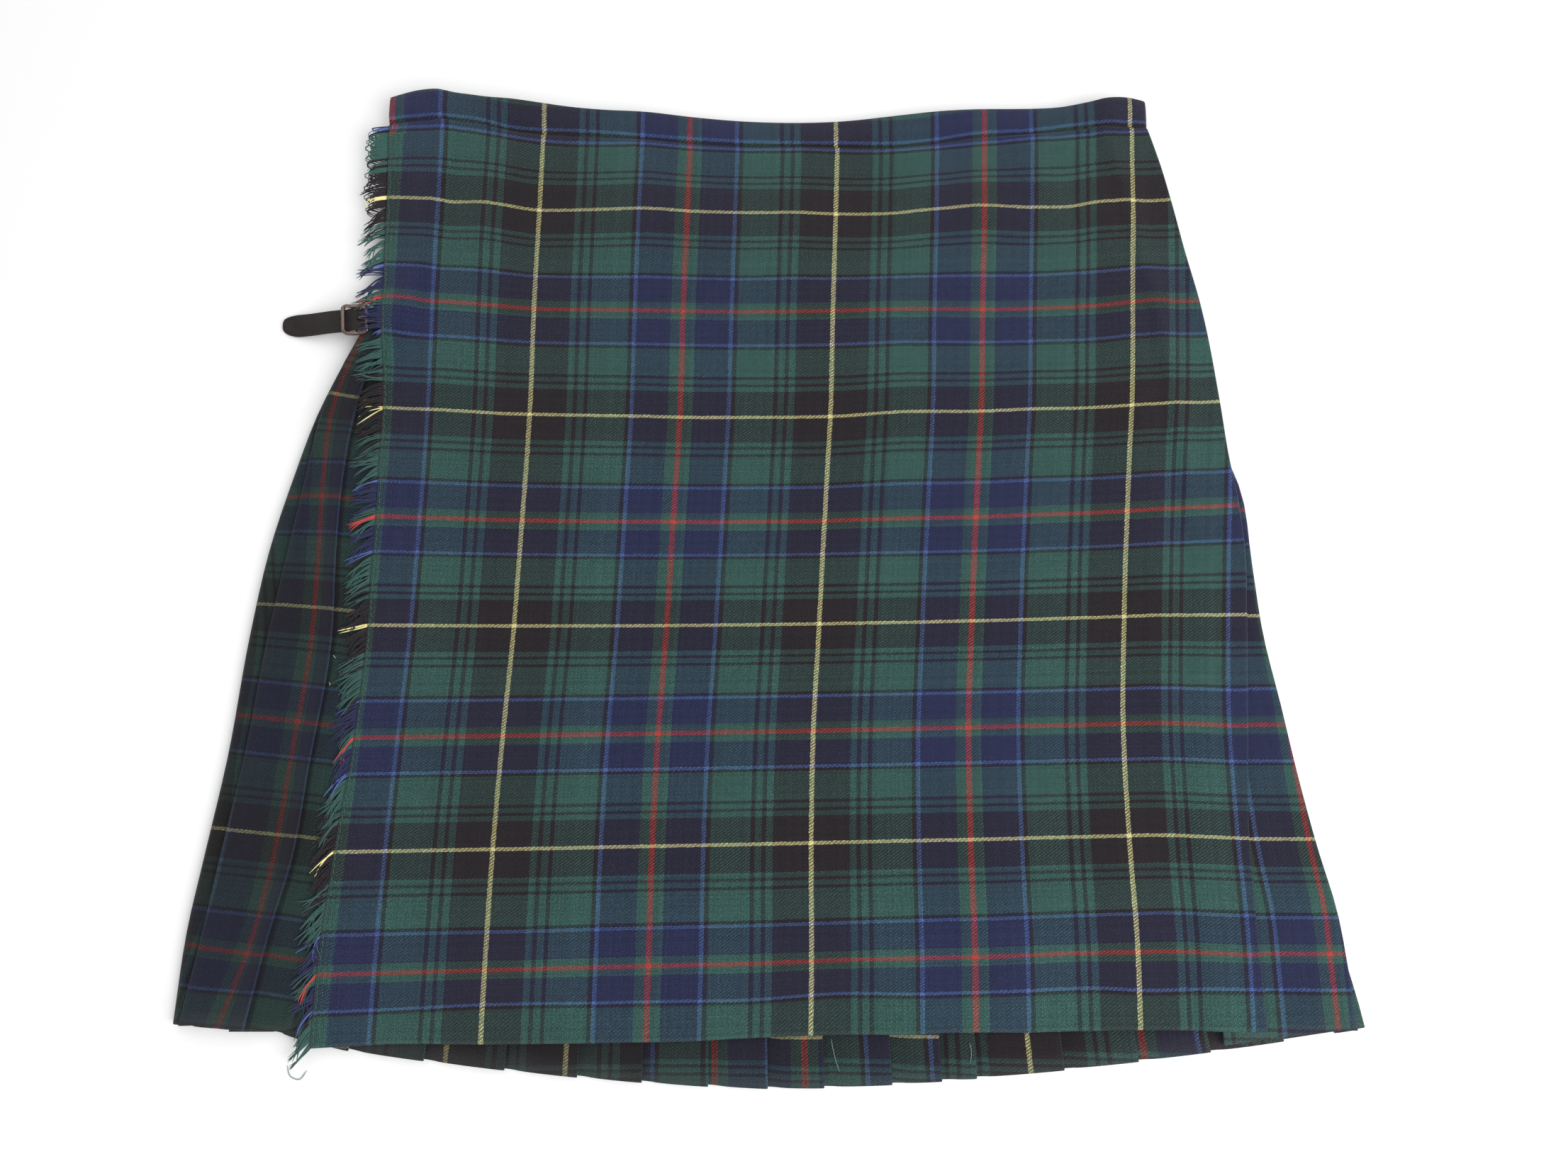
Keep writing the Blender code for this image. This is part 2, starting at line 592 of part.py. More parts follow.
def add_buckle_pin(collection, material):
    """The pin across the frame's middle, under the strap, a little short of the side bars."""
    reach = BUCKLE_WIDTH / 2 - BUCKLE_BAR[0] / 2 - SEAM_GAP
    height = buckle_height(0.0) - PIN_DROP
    ends = [buckle_place(0.0, reach * part, height) for part in (-1.0, 0.0, 1.0)]
    return add_tube(collection, "buckle_pin", ends, PIN_RADIUS, material)


def add_buckle_prong(collection, material):
    """The prong: up from the pin through the strap's hole, then over the right end bar."""
    pin_top = buckle_height(0.0) - PIN_DROP + PIN_RADIUS
    bar_top = BUCKLE_Z + BUCKLE_BAR[1] / 2 + SEAM_GAP + PRONG_RADIUS
    points = [buckle_place(1.9, 0.0, pin_top + 0.3), buckle_place(2.2, 0.0, pin_top + 2.0),
              buckle_place(3.4, 0.0, bar_top - 0.6), buckle_place(5.2, 0.0, bar_top),
              buckle_place(9.4, 0.0, bar_top)]
    return add_tube(collection, "buckle_prong", points, PRONG_RADIUS, material)


def cut_prong_hole(collection, strap):
    """The strap's round hole that the prong passes through."""
    bpy.ops.mesh.primitive_cylinder_add(vertices=12, radius=1.25 * MM, depth=9.0 * MM,
                                        location=centred(buckle_place(2.15, 0.0, 14.2)))
    cutter = bpy.context.object
    cutter.name = "prong_hole_cutter"
    for holder in list(cutter.users_collection):
        holder.objects.unlink(cutter)
    collection.objects.link(cutter)
    cutter.hide_render = True
    cutter.display_type = "WIRE"
    cut = strap.modifiers.new("prong hole", "BOOLEAN")
    cut.object = cutter
    cut.operation = "DIFFERENCE"


def build():
    kilt = start_scene()
    cutters = bpy.data.collections.new("cutters")
    bpy.context.scene.collection.children.link(cutters)

    green = finish_material("tartan_over_apron", (0.030, 0.075, 0.060), 0.9)
    dark = finish_material("tartan_under_apron", (0.022, 0.050, 0.048), 0.9)
    back = finish_material("tartan_back", (0.026, 0.060, 0.055), 0.9)
    band = finish_material("tartan_waistband", (0.028, 0.045, 0.070), 0.9)
    yarn = finish_material("wool_fringe", (0.022, 0.060, 0.050), 0.95)
    leather = finish_material("dark_strap_leather", (0.035, 0.026, 0.022), 0.55)
    nickel = finish_material("nickel_frame", (0.52, 0.45, 0.42), 0.3, 1.0)
    pin = finish_material("nickel_pin", (0.52, 0.45, 0.42), 0.3, 1.0)
    prong = finish_material("nickel_prong", (0.52, 0.45, 0.42), 0.3, 1.0)

    add_sheet(kilt, "over_apron", over_apron_grid(), CLOTH, green)
    add_sheet(kilt, "under_apron", under_apron_grid(), CLOTH, dark)
    add_sheet(kilt, "pleated_back", back_grid(), CLOTH, back)
    add_sheet(kilt, "waistband", waistband_grid(), BAND_CLOTH, band)
    add_fringe(kilt, yarn)
    strap = add_sheet(kilt, "strap", strap_grid(), STRAP_THICKNESS, leather)
    cut_prong_hole(cutters, strap)
    add_buckle_frame(kilt, nickel)
    add_buckle_pin(kilt, pin)
    add_buckle_prong(kilt, prong)


build()
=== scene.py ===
"""Looks of a Scottish kilt of tartan wool twill, laid flat with its front up, around its CAD model.

Sizes are millimetres in the frame of the laid-out garment, X across it, Y from the hem to the waist and Z
up from the surface, until placed() centres them and turns them to metres.
"""

import math

import bpy
import numpy as np
from bpy.props import FloatProperty, FloatVectorProperty, IntProperty, PointerProperty
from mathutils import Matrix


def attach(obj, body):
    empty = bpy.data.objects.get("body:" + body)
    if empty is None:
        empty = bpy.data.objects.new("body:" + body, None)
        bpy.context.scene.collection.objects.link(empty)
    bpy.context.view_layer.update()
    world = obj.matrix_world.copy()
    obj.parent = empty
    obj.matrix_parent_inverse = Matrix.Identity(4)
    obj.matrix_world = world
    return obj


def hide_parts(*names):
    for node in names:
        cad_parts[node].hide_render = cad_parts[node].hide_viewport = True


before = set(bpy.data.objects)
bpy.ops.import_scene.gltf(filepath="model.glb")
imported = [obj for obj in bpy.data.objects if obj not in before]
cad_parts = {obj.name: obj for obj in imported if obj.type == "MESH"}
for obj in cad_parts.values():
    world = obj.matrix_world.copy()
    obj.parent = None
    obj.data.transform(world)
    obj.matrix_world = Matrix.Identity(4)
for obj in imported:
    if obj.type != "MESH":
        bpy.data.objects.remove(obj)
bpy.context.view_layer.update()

bl_info = {
    "name": "Scottish kilt",
    "version": (1, 0, 0),
    "blender": (4, 5, 0),
    "location": "View3D > Sidebar > Kilt",
    "description": "Builds the cloth, fringe, strap, buckle and stage of a kilt laid flat",
    "category": "Object",
}

MM = 0.001
CENTRE = np.array([8.39, -15.84, 0.0])   # from the measured frame to the middle of the kilt's box

# Layers of cloth, counted up from the surface, and the sewn band
CAD_CLOTH = 1.5
LAYER_STEP = 2.0
SEAM_GAP = 0.3
BAND_WIDTH = 15.5
BAND_CLOTH = 1.7

# Half a repeat of the tartan, from the middle of the yellow stripe to the middle of the red one: the
# thread that each stripe starts at, and its colour. Beyond the red stripe the half repeat runs back.
HALF_REPEAT = 142
STRIPES = np.array([
    (0, "yellow"), (2, "black"), (34, "green"), (40, "black"), (44, "green"), (50, "black"),
    (54, "green"), (90, "black"), (94, "blue"), (98, "navy"), (130, "green"), (139, "red"),
], dtype=[("start", int), ("colour", "U8")])

# Half a repeat in millimetres: across the back and the band, across the under apron, down the cloth, and
# down it past the apron's hem
HALF_ACROSS = 100.0
UNDER_HALF_ACROSS = 99.6
HALF_DOWN = 69.0
HEM_HALF_DOWN = 68.0

# The over apron, one row for each half repeat down: y is the height of the row's middle, bow how far its
# ends rise above that, tilt how much more the right end rises; yellow_x is the first yellow stripe down
# the cloth, half_sett the width of half a repeat, left and right the edges in half repeats from it.
APRON_REACH = 260.0      # how far from the middle a row's bow and tilt are measured
APRON_ROWS = np.array([
    (-0.73, 305.0, 14.0, -2.0, -163.7, 100.0, -1.04, 4.10),
    (-0.35, 278.5, 12.5, -1.2, -164.3, 99.9, -1.03, 4.19),
    (0.00, 252.8, 10.7, -0.5, -164.8, 99.8, -1.02, 4.26),
    (0.50, 218.0, 9.4, -0.8, -165.6, 99.6, -1.01, 4.35),
    (1.00, 182.9, 8.5, -1.0, -166.2, 99.3, -1.00, 4.45),
    (2.00, 110.5, 8.6, 1.0, -166.5, 98.4, -0.98, 4.59),
    (2.50, 76.0, 7.6, 1.8, -167.6, 97.9, -0.98, 4.66),
    (3.00, 41.6, 6.4, 2.5, -169.0, 97.6, -0.97, 4.74),
    (3.50, 8.3, 4.6, 3.0, -170.4, 97.3, -0.97, 4.79),
    (4.00, -24.9, 3.0, 3.5, -171.8, 97.1, -0.96, 4.80),
    (5.00, -92.4, 1.0, 4.9, -176.2, 97.3, -0.96, 4.80),
    (6.00, -161.4, 0.5, 5.4, -179.8, 98.3, -1.00, 4.75),
    (7.00, -232.3, 0.0, 6.9, -182.0, 99.4, -1.03, 4.74),
    (7.62, -273.5, -5.0, 3.5, -183.0, 99.6, -1.03, 4.76),
], dtype=[(name, float) for name in
          ("sett", "y", "bow", "tilt", "yellow_x", "half_sett", "left", "right")])

# Folds at the left side at heights y: wrap is where the back turns up to the front, box_left and box_right
# are the edges of the box pleat on it, and red is the red stripe that runs down the box pleat.
LEFT_FOLDS = np.array([
    (320.0, -263.0, -260.0, -238.0, -246.0),
    (262.0, -264.0, -261.0, -241.0, -248.0),
    (230.0, -266.0, -263.0, -244.5, -250.0),
    (205.0, -270.0, -267.0, -250.0, -263.0),
    (176.0, -279.5, -277.0, -261.0, -274.0),
    (146.0, -293.0, -290.5, -273.5, -286.5),
    (112.0, -306.5, -302.5, -281.5, -295.5),
    (71.0, -319.0, -309.5, -286.5, -297.8),
    (24.0, -331.5, -317.5, -288.0, -297.9),
    (-35.0, -341.0, -327.4, -287.5, -299.0),
    (-111.0, -349.5, -337.0, -296.6, -307.0),
    (-175.0, -360.0, -348.0, -304.5, -314.5),
    (-215.0, -366.5, -354.5, -314.6, -322.8),
    (-272.0, -371.0, -365.5, -326.5, -341.5),
], dtype=[(name, float) for name in ("y", "wrap", "box_left", "box_right", "red")])

# Folds at the right side: side is the edge of the upper side pleat, lower that of the one under it.
RIGHT_FOLDS = np.array([
    (320.0, 243.0, 240.0),
    (263.0, 257.0, 254.0),
    (190.0, 272.0, 269.0),
    (94.0, 287.0, 284.0),
    (64.0, 297.0, 294.0),
    (17.0, 301.3, 298.0),
    (-29.0, 305.6, 302.5),
    (-74.0, 313.9, 310.9),
    (-118.0, 321.6, 318.6),
    (-162.0, 330.6, 327.6),
    (-204.0, 340.6, 338.0),
    (-236.0, 344.5, 346.0),
    (-270.0, 347.6, 353.9),
], dtype=[(name, float) for name in ("y", "side", "lower")])

# The stripes of the upper side pleat at heights y: how far the red one lies from the pleat's fold, which it
# runs off above the middle, and how many half repeats lower than on the apron the level ones lie.
SIDE_STRIPES = np.array([
    (-270.0, -12.6, -0.045), (-250.0, -11.2, -0.040), (-229.0, -9.8, 0.028), (-205.0, -7.8, 0.047),
    (-156.0, -3.7, 0.047), (-118.0, 0.0, 0.033), (-87.0, 2.7, 0.024), (-60.0, 5.0, 0.012), (320.0, 20.0, 0.0),
], dtype=[("y", float), ("red", float), ("sag", float)])

# How much lower the level stripes of the left side lie at heights y, at its left and at its right edge, in
# half repeats.
LEFT_LINES = np.array([
    (-272.0, 0.066, 0.013), (-249.0, 0.066, 0.013), (-225.0, 0.037, 0.016), (-203.0, 0.050, 0.020),
    (-155.0, 0.033, 0.000), (-108.0, 0.000, -0.007), (-61.0, 0.000, 0.000), (-14.0, -0.023, -0.040),
    (34.0, -0.026, -0.060), (57.0, -0.036, -0.066), (80.0, -0.033, -0.063), (128.0, -0.013, 0.026),
    (160.0, 0.0, 0.0), (320.0, 0.0, 0.0),
], dtype=[("y", float), ("left", float), ("right", float)])

# The free inner edge of each knife pleat of the back, at the waist and at the hem, the place of that edge
# in the tartan and how much further down the cloth the pleat shows, both in half repeats.
PLEATS = np.array([
    (-228.5, -312.0, 1.20, 0.06),
    (-199.0, -264.0, 0.90, 0.05),
    (-169.5, -218.0, 0.60, 0.07),
    (-140.0, -169.0, 0.36, 0.05),
    (-110.5, -125.0, 0.07, 0.06),
    (-81.0, -86.0, -0.11, 0.05),
    (-51.5, -46.0, -0.34, 0.08),
    (-22.0, -10.0, -0.68, 0.06),
    (7.5, 24.0, -0.89, 0.00),
    (37.0, 65.0, -1.18, 0.06),
    (66.5, 95.0, -1.27, 0.00),
    (96.0, 116.0, -1.53, 0.05),
    (125.5, 169.0, -1.80, 0.06),
    (155.0, 214.0, -1.46, 0.12),
    (184.5, 258.0, -0.61, 0.13),
    (214.0, 303.0, -1.50, 0.12),
], dtype=[("waist", float), ("hem", float), ("sett", float), ("drop", float)])
PLEAT_TURN = 2.0         # half repeats that one pleat takes up beside the change from edge to edge
PLEAT_RUN_UP = 8.0
PLEAT_CLEARANCE = 12.5
TUCKED_IN = 13.0
UPPER_HEM_RISE = 3.0
HEM_FLARE = 2.2          # how far the free edge of a pleat stands up at the hem
LEFT_HEM_Y = -271.0
RIGHT_TOP_Y = 317.0
RIGHT_HEM_Y = -272.0
RETURN_DEPTH = 25.0      # how far the over apron's right edge is folded under

# Where the stripes stand in the waistband, cut apart from the apron: place across, and half repeats
BAND_STRIPES = np.array([
    (-266.0, -1.0), (-163.0, 0.0), (-64.0, 1.0), (35.3, 2.0), (136.2, 3.0), (234.6, 4.0),
], dtype=[("x", float), ("sett", float)])
BAND_FOOT = -0.635       # the waistband's lower edge in half repeats down the cloth
DRAWN_IN = -0.88         # half repeats across, where the threads of the apron's free edge draw together
DRAWN_ROOM = 0.1         # half repeats that the drawing in leaves out

# Soft ridges and troughs of the over apron: middle, length, width, height and lean from straight down.
APRON_RIDGES = np.array([
    (-196.0, 262.0, 120.0, 34.0, 2.2, 8.0),
    (-92.0, 258.0, 110.0, 40.0, 1.8, -6.0),
    (8.0, 250.0, 130.0, 44.0, 2.4, 4.0),
    (92.0, 262.0, 100.0, 36.0, 1.6, -10.0),
    (178.0, 258.0, 140.0, 38.0, 2.8, -16.0),
    (238.0, 30.0, 420.0, 40.0, 2.6, -3.0),
    (-20.0, -212.0, 120.0, 60.0, 2.0, 6.0),
    (126.0, -190.0, 170.0, 52.0, 2.4, -4.0),
    (-150.0, -150.0, 200.0, 56.0, 1.8, 8.0),
    (60.0, 60.0, 180.0, 64.0, 1.6, 14.0),
    (-232.0, 120.0, 90.0, 16.0, 0.7, 18.0),
    (-238.0, 216.0, 60.0, 12.0, 0.6, -12.0),
    (286.0, -150.0, 200.0, 9.0, -0.9, -7.0),
    (214.0, -200.0, 150.0, 22.0, 0.9, -8.0),
    (20.0, 120.0, 90.0, 14.0, 0.5, 30.0),
    (-60.0, 20.0, 120.0, 18.0, 0.6, -24.0),
    (176.0, -60.0, 130.0, 20.0, 0.7, 12.0),
    (-120.0, 160.0, 80.0, 15.0, 0.5, -20.0),
], dtype=[(name, float) for name in ("x", "y", "length", "width", "height", "lean")])

# How far threads of the over apron lie above their parabola, in millimetres at places x: the waistband's
# top edge, the seam, the first blue line, the next yellow, red and yellow lines down the cloth, the last
# blue line and the hem.
DRIFTS = np.array([
    (-268.0, -2.0, -5.0, -4.6, -1.0, 0.0, 0.0, 1.1, 1.0),
    (-256.0, 3.0, -2.0, -2.6, -0.2, 0.4, 0.2, 1.1, 1.0),
    (-242.0, 7.2, 0.9, -0.6, 0.5, 0.9, 0.4, 1.1, 1.1),
    (-219.0, 8.6, 4.4, 2.6, 1.2, 1.4, 0.8, 1.4, 0.2),
    (-204.0, 7.8, 3.0, 1.2, 1.7, 1.0, 0.6, 1.6, -0.6),
    (-186.0, 8.0, 0.0, -0.9, 0.3, 0.2, 0.2, 1.9, -1.5),
    (-168.0, 6.7, -0.5, -1.8, -1.1, -0.5, 0.4, 1.8, -2.1),
    (-145.0, 4.9, 0.3, -2.0, 0.0, -0.2, 0.8, 1.5, -2.7),
    (-120.0, 4.2, 0.4, -0.8, 1.6, 0.4, 1.2, 0.9, -3.3),
    (-98.0, 4.4, -0.2, 0.0, 2.5, 1.0, 1.4, 0.7, -3.5),
    (-60.0, 1.4, -1.8, -1.1, 2.0, 1.2, 1.0, 0.5, -3.8),
    (-26.0, -0.7, -2.9, -1.7, 1.5, 1.1, 1.3, 0.4, -2.6),
    (37.0, -0.4, -3.4, -2.4, 0.4, 2.3, 1.8, 2.9, -1.3),
    (82.0, 3.8, -3.9, -2.8, 0.8, 3.2, 4.2, 1.8, -1.4),
    (105.0, 5.7, -1.8, -1.2, 2.7, 2.6, 3.8, 2.2, -0.2),
    (133.0, 6.0, 1.4, 0.6, 4.7, 1.6, 3.2, 2.8, 0.0),
    (150.0, 5.2, 1.4, 0.5, 3.0, 1.1, 3.4, 3.1, 0.1),
    (167.0, 4.4, 1.2, 0.8, 0.7, 1.0, 3.3, 3.7, 0.7),
    (190.0, 4.2, 2.5, 1.5, -0.4, 0.7, 2.4, 4.0, 1.4),
    (211.0, 7.0, 3.6, 2.1, 2.8, 0.7, 1.9, 3.0, 2.2),
    (228.0, 7.9, 4.0, 1.9, 2.2, 1.8, 1.6, 2.6, 2.5),
    (245.0, 3.1, 4.1, 1.4, 0.4, 2.5, 1.6, 3.0, 2.6),
    (262.0, 1.0, 2.0, 0.8, -1.0, 1.6, 1.6, 3.5, 2.7),
    (284.0, 0.0, 0.0, 0.0, -0.5, -0.4, -0.6, 3.2, 3.0),
], dtype=[(name, float) for name in
          ("x", "top", "seam", "first", "yellow_0", "red_1", "yellow_2", "blue_7", "hem")])
# The drift's rows in half repeats down; there is none between the two rows without a name.
DRIFT_ROWS = (("seam", -0.73), ("first", -0.676), ("yellow_0", 0.0), ("red_1", 1.0), ("yellow_2", 2.0),
              ("", 3.6), ("", 6.9), ("blue_7", 7.324), ("hem", 7.62))
UPPER_PART = 4.0         # half repeats down to where the drift also lifts the cloth
DRIFT_LIFT = 0.8         # how much a millimetre of upward drift lifts it
FOLD_FADE = 36.0         # how far from the right fold the drift of the upper part fades

# The strap and its buckle at the left hip
STRAP_WIDTH = 15.4
STRAP_THICKNESS = 2.0
STRAP_Y = 177.2
STRAP_TURN = 4.2
STRAP_PATH = np.array([
    (-257.0, 12.8), (-266.0, 12.8), (-272.5, 12.8), (-277.0, 12.8), (-279.6, 13.8), (-282.5, 14.4),
    (-285.4, 13.8), (-288.0, 12.8), (-292.5, 12.2), (-300.0, 10.6), (-308.0, 7.8), (-316.0, 4.8),
    (-323.0, 2.5), (-328.0, 1.5), (-332.5, 1.2),
], dtype=[("x", float), ("z", float)])
STRAP_TIP = 13.0
STRAP_END = -335.5       # the tip, which reaches a little further than the straight strap of the model
STRAP_BEND = 4.4         # how far the tip bends towards the waist
STRAP_HOLES = ((-9.8, 1.4), (2.15, 0.0))   # along the strap and across it from the buckle's middle
STRAP_BEND_FROM = -290.0
BUCKLE_X = -282.5
BUCKLE_LENGTH = 15.6
BUCKLE_WIDTH = 18.8
BUCKLE_BAR = (2.6, 1.8)
BUCKLE_Z = 15.3
BUCKLE_BOW = 2.1
BUCKLE_CORNER = 2.6
PIN_RADIUS = 0.8
PIN_DROP = 0.9
PRONG_RADIUS = 0.75
PRONG_ALONG = (1.9, 2.2, 3.4, 5.2, 7.4, 9.4)   # places of the prong's bends from the buckle's middle

# The fringe near the buckle: from and to beside the strap's middle, shortest and longest yarn, and lean
FRINGE_AT_BUCKLE = ((2.0, 12.0, 8.0, 12.0, 8.0), (-7.0, 2.0, 10.0, 15.5, 2.0), (-12.0, -7.0, 4.0, 8.0, 20.0))

LOOPS_END = 0.12         # half repeats down to where the fringe's clumps may turn back in loops
LOOP_CHANCE = 0.7

STITCH_PITCH = 4.0
STITCH_INSET = 1.7
STITCH_RADIUS = 0.21

# Loose threads and fluff: radius and places
LOOSE_THREADS = (
    (0.17, ((28.5, -277.0, 7.6), (29.6, -283.0, 7.6), (31.4, -290.0, 7.4), (33.4, -296.0, 7.2))),
    (0.17, ((112.0, -279.5, 7.6), (112.9, -283.0, 7.6), (113.0, -287.0, 7.4), (112.2, -291.0, 7.2))),
    (0.30, ((-302.0, -294.0, 0.4), (-300.0, -300.0, 0.5), (-294.0, -302.0, 0.5), (-290.0, -297.0, 0.4))),
    (0.32, ((-284.0, -45.0, 13.9), (-283.0, -46.0, 14.1), (-282.4, -46.8, 13.9))),
    (0.30, ((-285.6, -62.0, 13.8), (-284.8, -63.0, 14.0), (-285.2, -64.2, 13.8))),
)

# The stage, in metres: half the floor's side, and the lamps, each with its share of the key's power. The
# camera's place is in the measured frame, in millimetres.
FLOOR_REACH = 15.0
FLOOR_Z = -0.0002
LAMP_SIZE = 1.2
LAMPS = (("key", (0.9, -0.5, 1.25), 1.0), ("fill", (-0.5, 0.9, 1.5), 0.22))
CAMERA_PLACE = (0.0, -119.1, 752.1)
CAMERA_LENS = 27.0       # on a sensor 36 mm wide

# Resolution of the surfaces
APRON_GRID = (184, 156)
END_ROWS = (0.0, 0.006, 0.012, 0.02, 0.03)    # rows close to the seam and the hem, in half repeats
END_REACH = 0.045        # half repeats from there to the evenly spaced rows
UNDER_GRID = (80, 90)
BACK_ROWS = 46
BAND_ROWS = 14


# Curves and tables

def curve_through(knots, values, at):
    """Smooth curve through knots: on each span the cubic whose end slopes are those of its neighbours."""
    order = np.argsort(knots)
    knots, values = np.asarray(knots)[order], np.asarray(values)[order]
    slopes = np.gradient(values, knots)
    at = np.clip(at, knots[0], knots[-1])
    span = np.clip(np.searchsorted(knots, at, side="right") - 1, 0, len(knots) - 2)
    width = knots[span + 1] - knots[span]
    t = (at - knots[span]) / width
    return (values[span] * (1 + 2 * t) * (1 - t) ** 2 + slopes[span] * width * t * (1 - t) ** 2
            + values[span + 1] * t * t * (3 - 2 * t) - slopes[span + 1] * width * t * t * (1 - t))


def from_table(table, key, column, at):
    return curve_through(table[key], table[column], at)


def apron_row(name, sett):
    return from_table(APRON_ROWS, "sett", name, sett)


def left_fold(name, y):
    return from_table(LEFT_FOLDS, "y", name, y)


def soft_step(x):
    """Rises from 0 at x = 0 to 1 at x = 1 as 3x squared minus 2x cubed."""
    t = np.clip(x, 0.0, 1.0)
    return t * t * (3 - 2 * t)


def layer(number):
    """Height of the middle of a layer of cloth, counted up from the surface."""
    return CAD_CLOTH / 2 + LAYER_STEP * number


def placed(points):
    return (np.asarray(points, dtype=float) + CENTRE) * MM


def cut_corners(points, times):
    """Corner cutting along the second axis: each span gives its points at a quarter and at three quarters,
    and the two ends stay."""
    for _ in range(times):
        first = 0.75 * points[:, :-1] + 0.25 * points[:, 1:]
        second = 0.25 * points[:, :-1] + 0.75 * points[:, 1:]
        middle = np.stack([first, second], axis=2).reshape(points.shape[0], -1, points.shape[2])
        points = np.concatenate([points[:, :1], middle, points[:, -1:]], axis=1)
    return points


# Shapes of the cloth

def seam_y(x):
    """Height of the seam under the waistband: a parabola that rises to both ends."""
    top = APRON_ROWS[0]
    reach = x / APRON_REACH
    return top["y"] + top["bow"] * reach ** 2 + top["tilt"] * reach


def back_hem_y(x):
    return -306.0 + 34.0 * (np.abs(x) / 350.0) ** 1.6


def apron_point(sett, across):
    """Place of a thread crossing of the over apron: across and down are in half repeats; x is the yellow
    stripe's place plus across times the half repeat's width, y the row's parabola at that x."""
    x = apron_row("yellow_x", sett) + across * apron_row("half_sett", sett)
    reach = x / APRON_REACH
    return x, apron_row("y", sett) + apron_row("bow", sett) * reach ** 2 + apron_row("tilt", sett) * reach


def apron_edge(sett, side):
    return apron_point(sett, apron_row(side, sett))


def sett_at(x, y):
    """Half repeats down the over apron at a place, its rows turned round: four rounds of reading the row
    whose parabola passes there."""
    setts, heights = APRON_ROWS["sett"], APRON_ROWS["y"]
    reach = np.clip(x, -APRON_REACH, APRON_REACH) / APRON_REACH
    sett = np.interp(-y, -heights, setts)
    for _ in range(4):
        rise = np.interp(sett, setts, APRON_ROWS["bow"]) * reach ** 2
        level = y - rise - np.interp(sett, setts, APRON_ROWS["tilt"]) * reach
        sett = np.interp(-level, -heights, setts) + np.clip(heights[-1] - level, 0.0, None) / HEM_HALF_DOWN
    return sett


def fold_edge_x(y):
    x, height = apron_edge(APRON_ROWS["sett"], "right")
    return np.interp(y, height[::-1], x[::-1])


def ridges(x, y):
    """Sum of long humps: each a bell across its line and a flat-topped bell along it."""
    height = np.zeros(np.broadcast(x, y).shape)
    for ridge in APRON_RIDGES:
        lean = math.radians(ridge["lean"])
        along = -(y - ridge["y"]) * math.cos(lean) - (x - ridge["x"]) * math.sin(lean)
        across = (x - ridge["x"]) * math.cos(lean) - (y - ridge["y"]) * math.sin(lean)
        height += (ridge["height"] * np.exp(-(across / (0.5 * ridge["width"])) ** 2)
                   * np.exp(-(along / (0.5 * ridge["length"])) ** 4))
    return height


def apron_height(x, y, right_edge):
    """Height of the over apron: the under apron's top, plus steps over the box pleat and over its own
    folded edge, plus the lift of the strap and the ridges."""
    on_box = soft_step((left_fold("box_right", y) + 20.0 - x) / 18.0)
    on_return = soft_step((x - right_edge + RETURN_DEPTH + 14.0) / 9.0)
    at_strap = soft_step((-234.0 - x) / 18.0) * np.exp(-((y - STRAP_Y - 1.5) / 17.0) ** 4)
    at_band = soft_step((y - seam_y(x) + 24.0) / 20.0)
    inside = soft_step((x + 258.0) / 30.0) * soft_step((right_edge - 6.0 - x) / 24.0)
    return (layer(4) + 2 * LAYER_STEP * on_box + LAYER_STEP * on_return
            + 3.0 * at_strap + 0.6 * at_band + ridges(x, y) * inside)


def line_drift(x, sett):
    """Drift of a thread at a place: each row of the table read at x, and blended between rows."""
    sett = np.broadcast_to(sett, np.broadcast(x, sett).shape)
    knots = [row for _, row in DRIFT_ROWS]
    rows = [from_table(DRIFTS, "x", name, x) if name else np.zeros(np.shape(x)) for name, _ in DRIFT_ROWS]
    drift = np.where(sett <= knots[0], rows[0], rows[-1])
    for number in range(len(knots) - 1):
        inside = (sett > knots[number]) & (sett <= knots[number + 1])
        blend = soft_step((sett - knots[number]) / (knots[number + 1] - knots[number]))
        drift = np.where(inside, rows[number] * (1 - blend) + rows[number + 1] * blend, drift)
    return drift


def apron_laid(sett, across):
    """Place of a thread crossing as the apron lies: near the waist the part of the drift that rises lifts
    the cloth too and none is left at the fold, the cloth dips into the seam at the waistband, and its hem
    rolls down a little."""
    x, y = apron_point(sett, across)
    edge_x = apron_edge(sett, "right")[0]
    upper = np.where(sett < UPPER_PART, 1.0, 0.0)
    drift = line_drift(x, sett) * (1 - upper * (1 - soft_step((edge_x - x) / FOLD_FADE)))
    lift = DRIFT_LIFT * np.maximum(drift, 0.0) * upper
    dip = (1.1 * np.exp(-((sett - APRON_ROWS["sett"][0]) / 0.017) ** 2)
           + 1.0 * np.exp(-((sett - APRON_ROWS["sett"][-1]) / 0.022) ** 2))
    return x, y + drift - 0.5 * lift, apron_height(x, y, edge_x) + lift - dip


def threads_across(across, left):
    """Half repeats across, drawn together at the free edge so that it ends just short of the red stripe."""
    beyond = np.clip(DRAWN_IN - across, 0.0, None)
    return across + beyond * np.clip(1 - DRAWN_ROOM / np.maximum(DRAWN_IN - left, DRAWN_ROOM), 0.0, None)


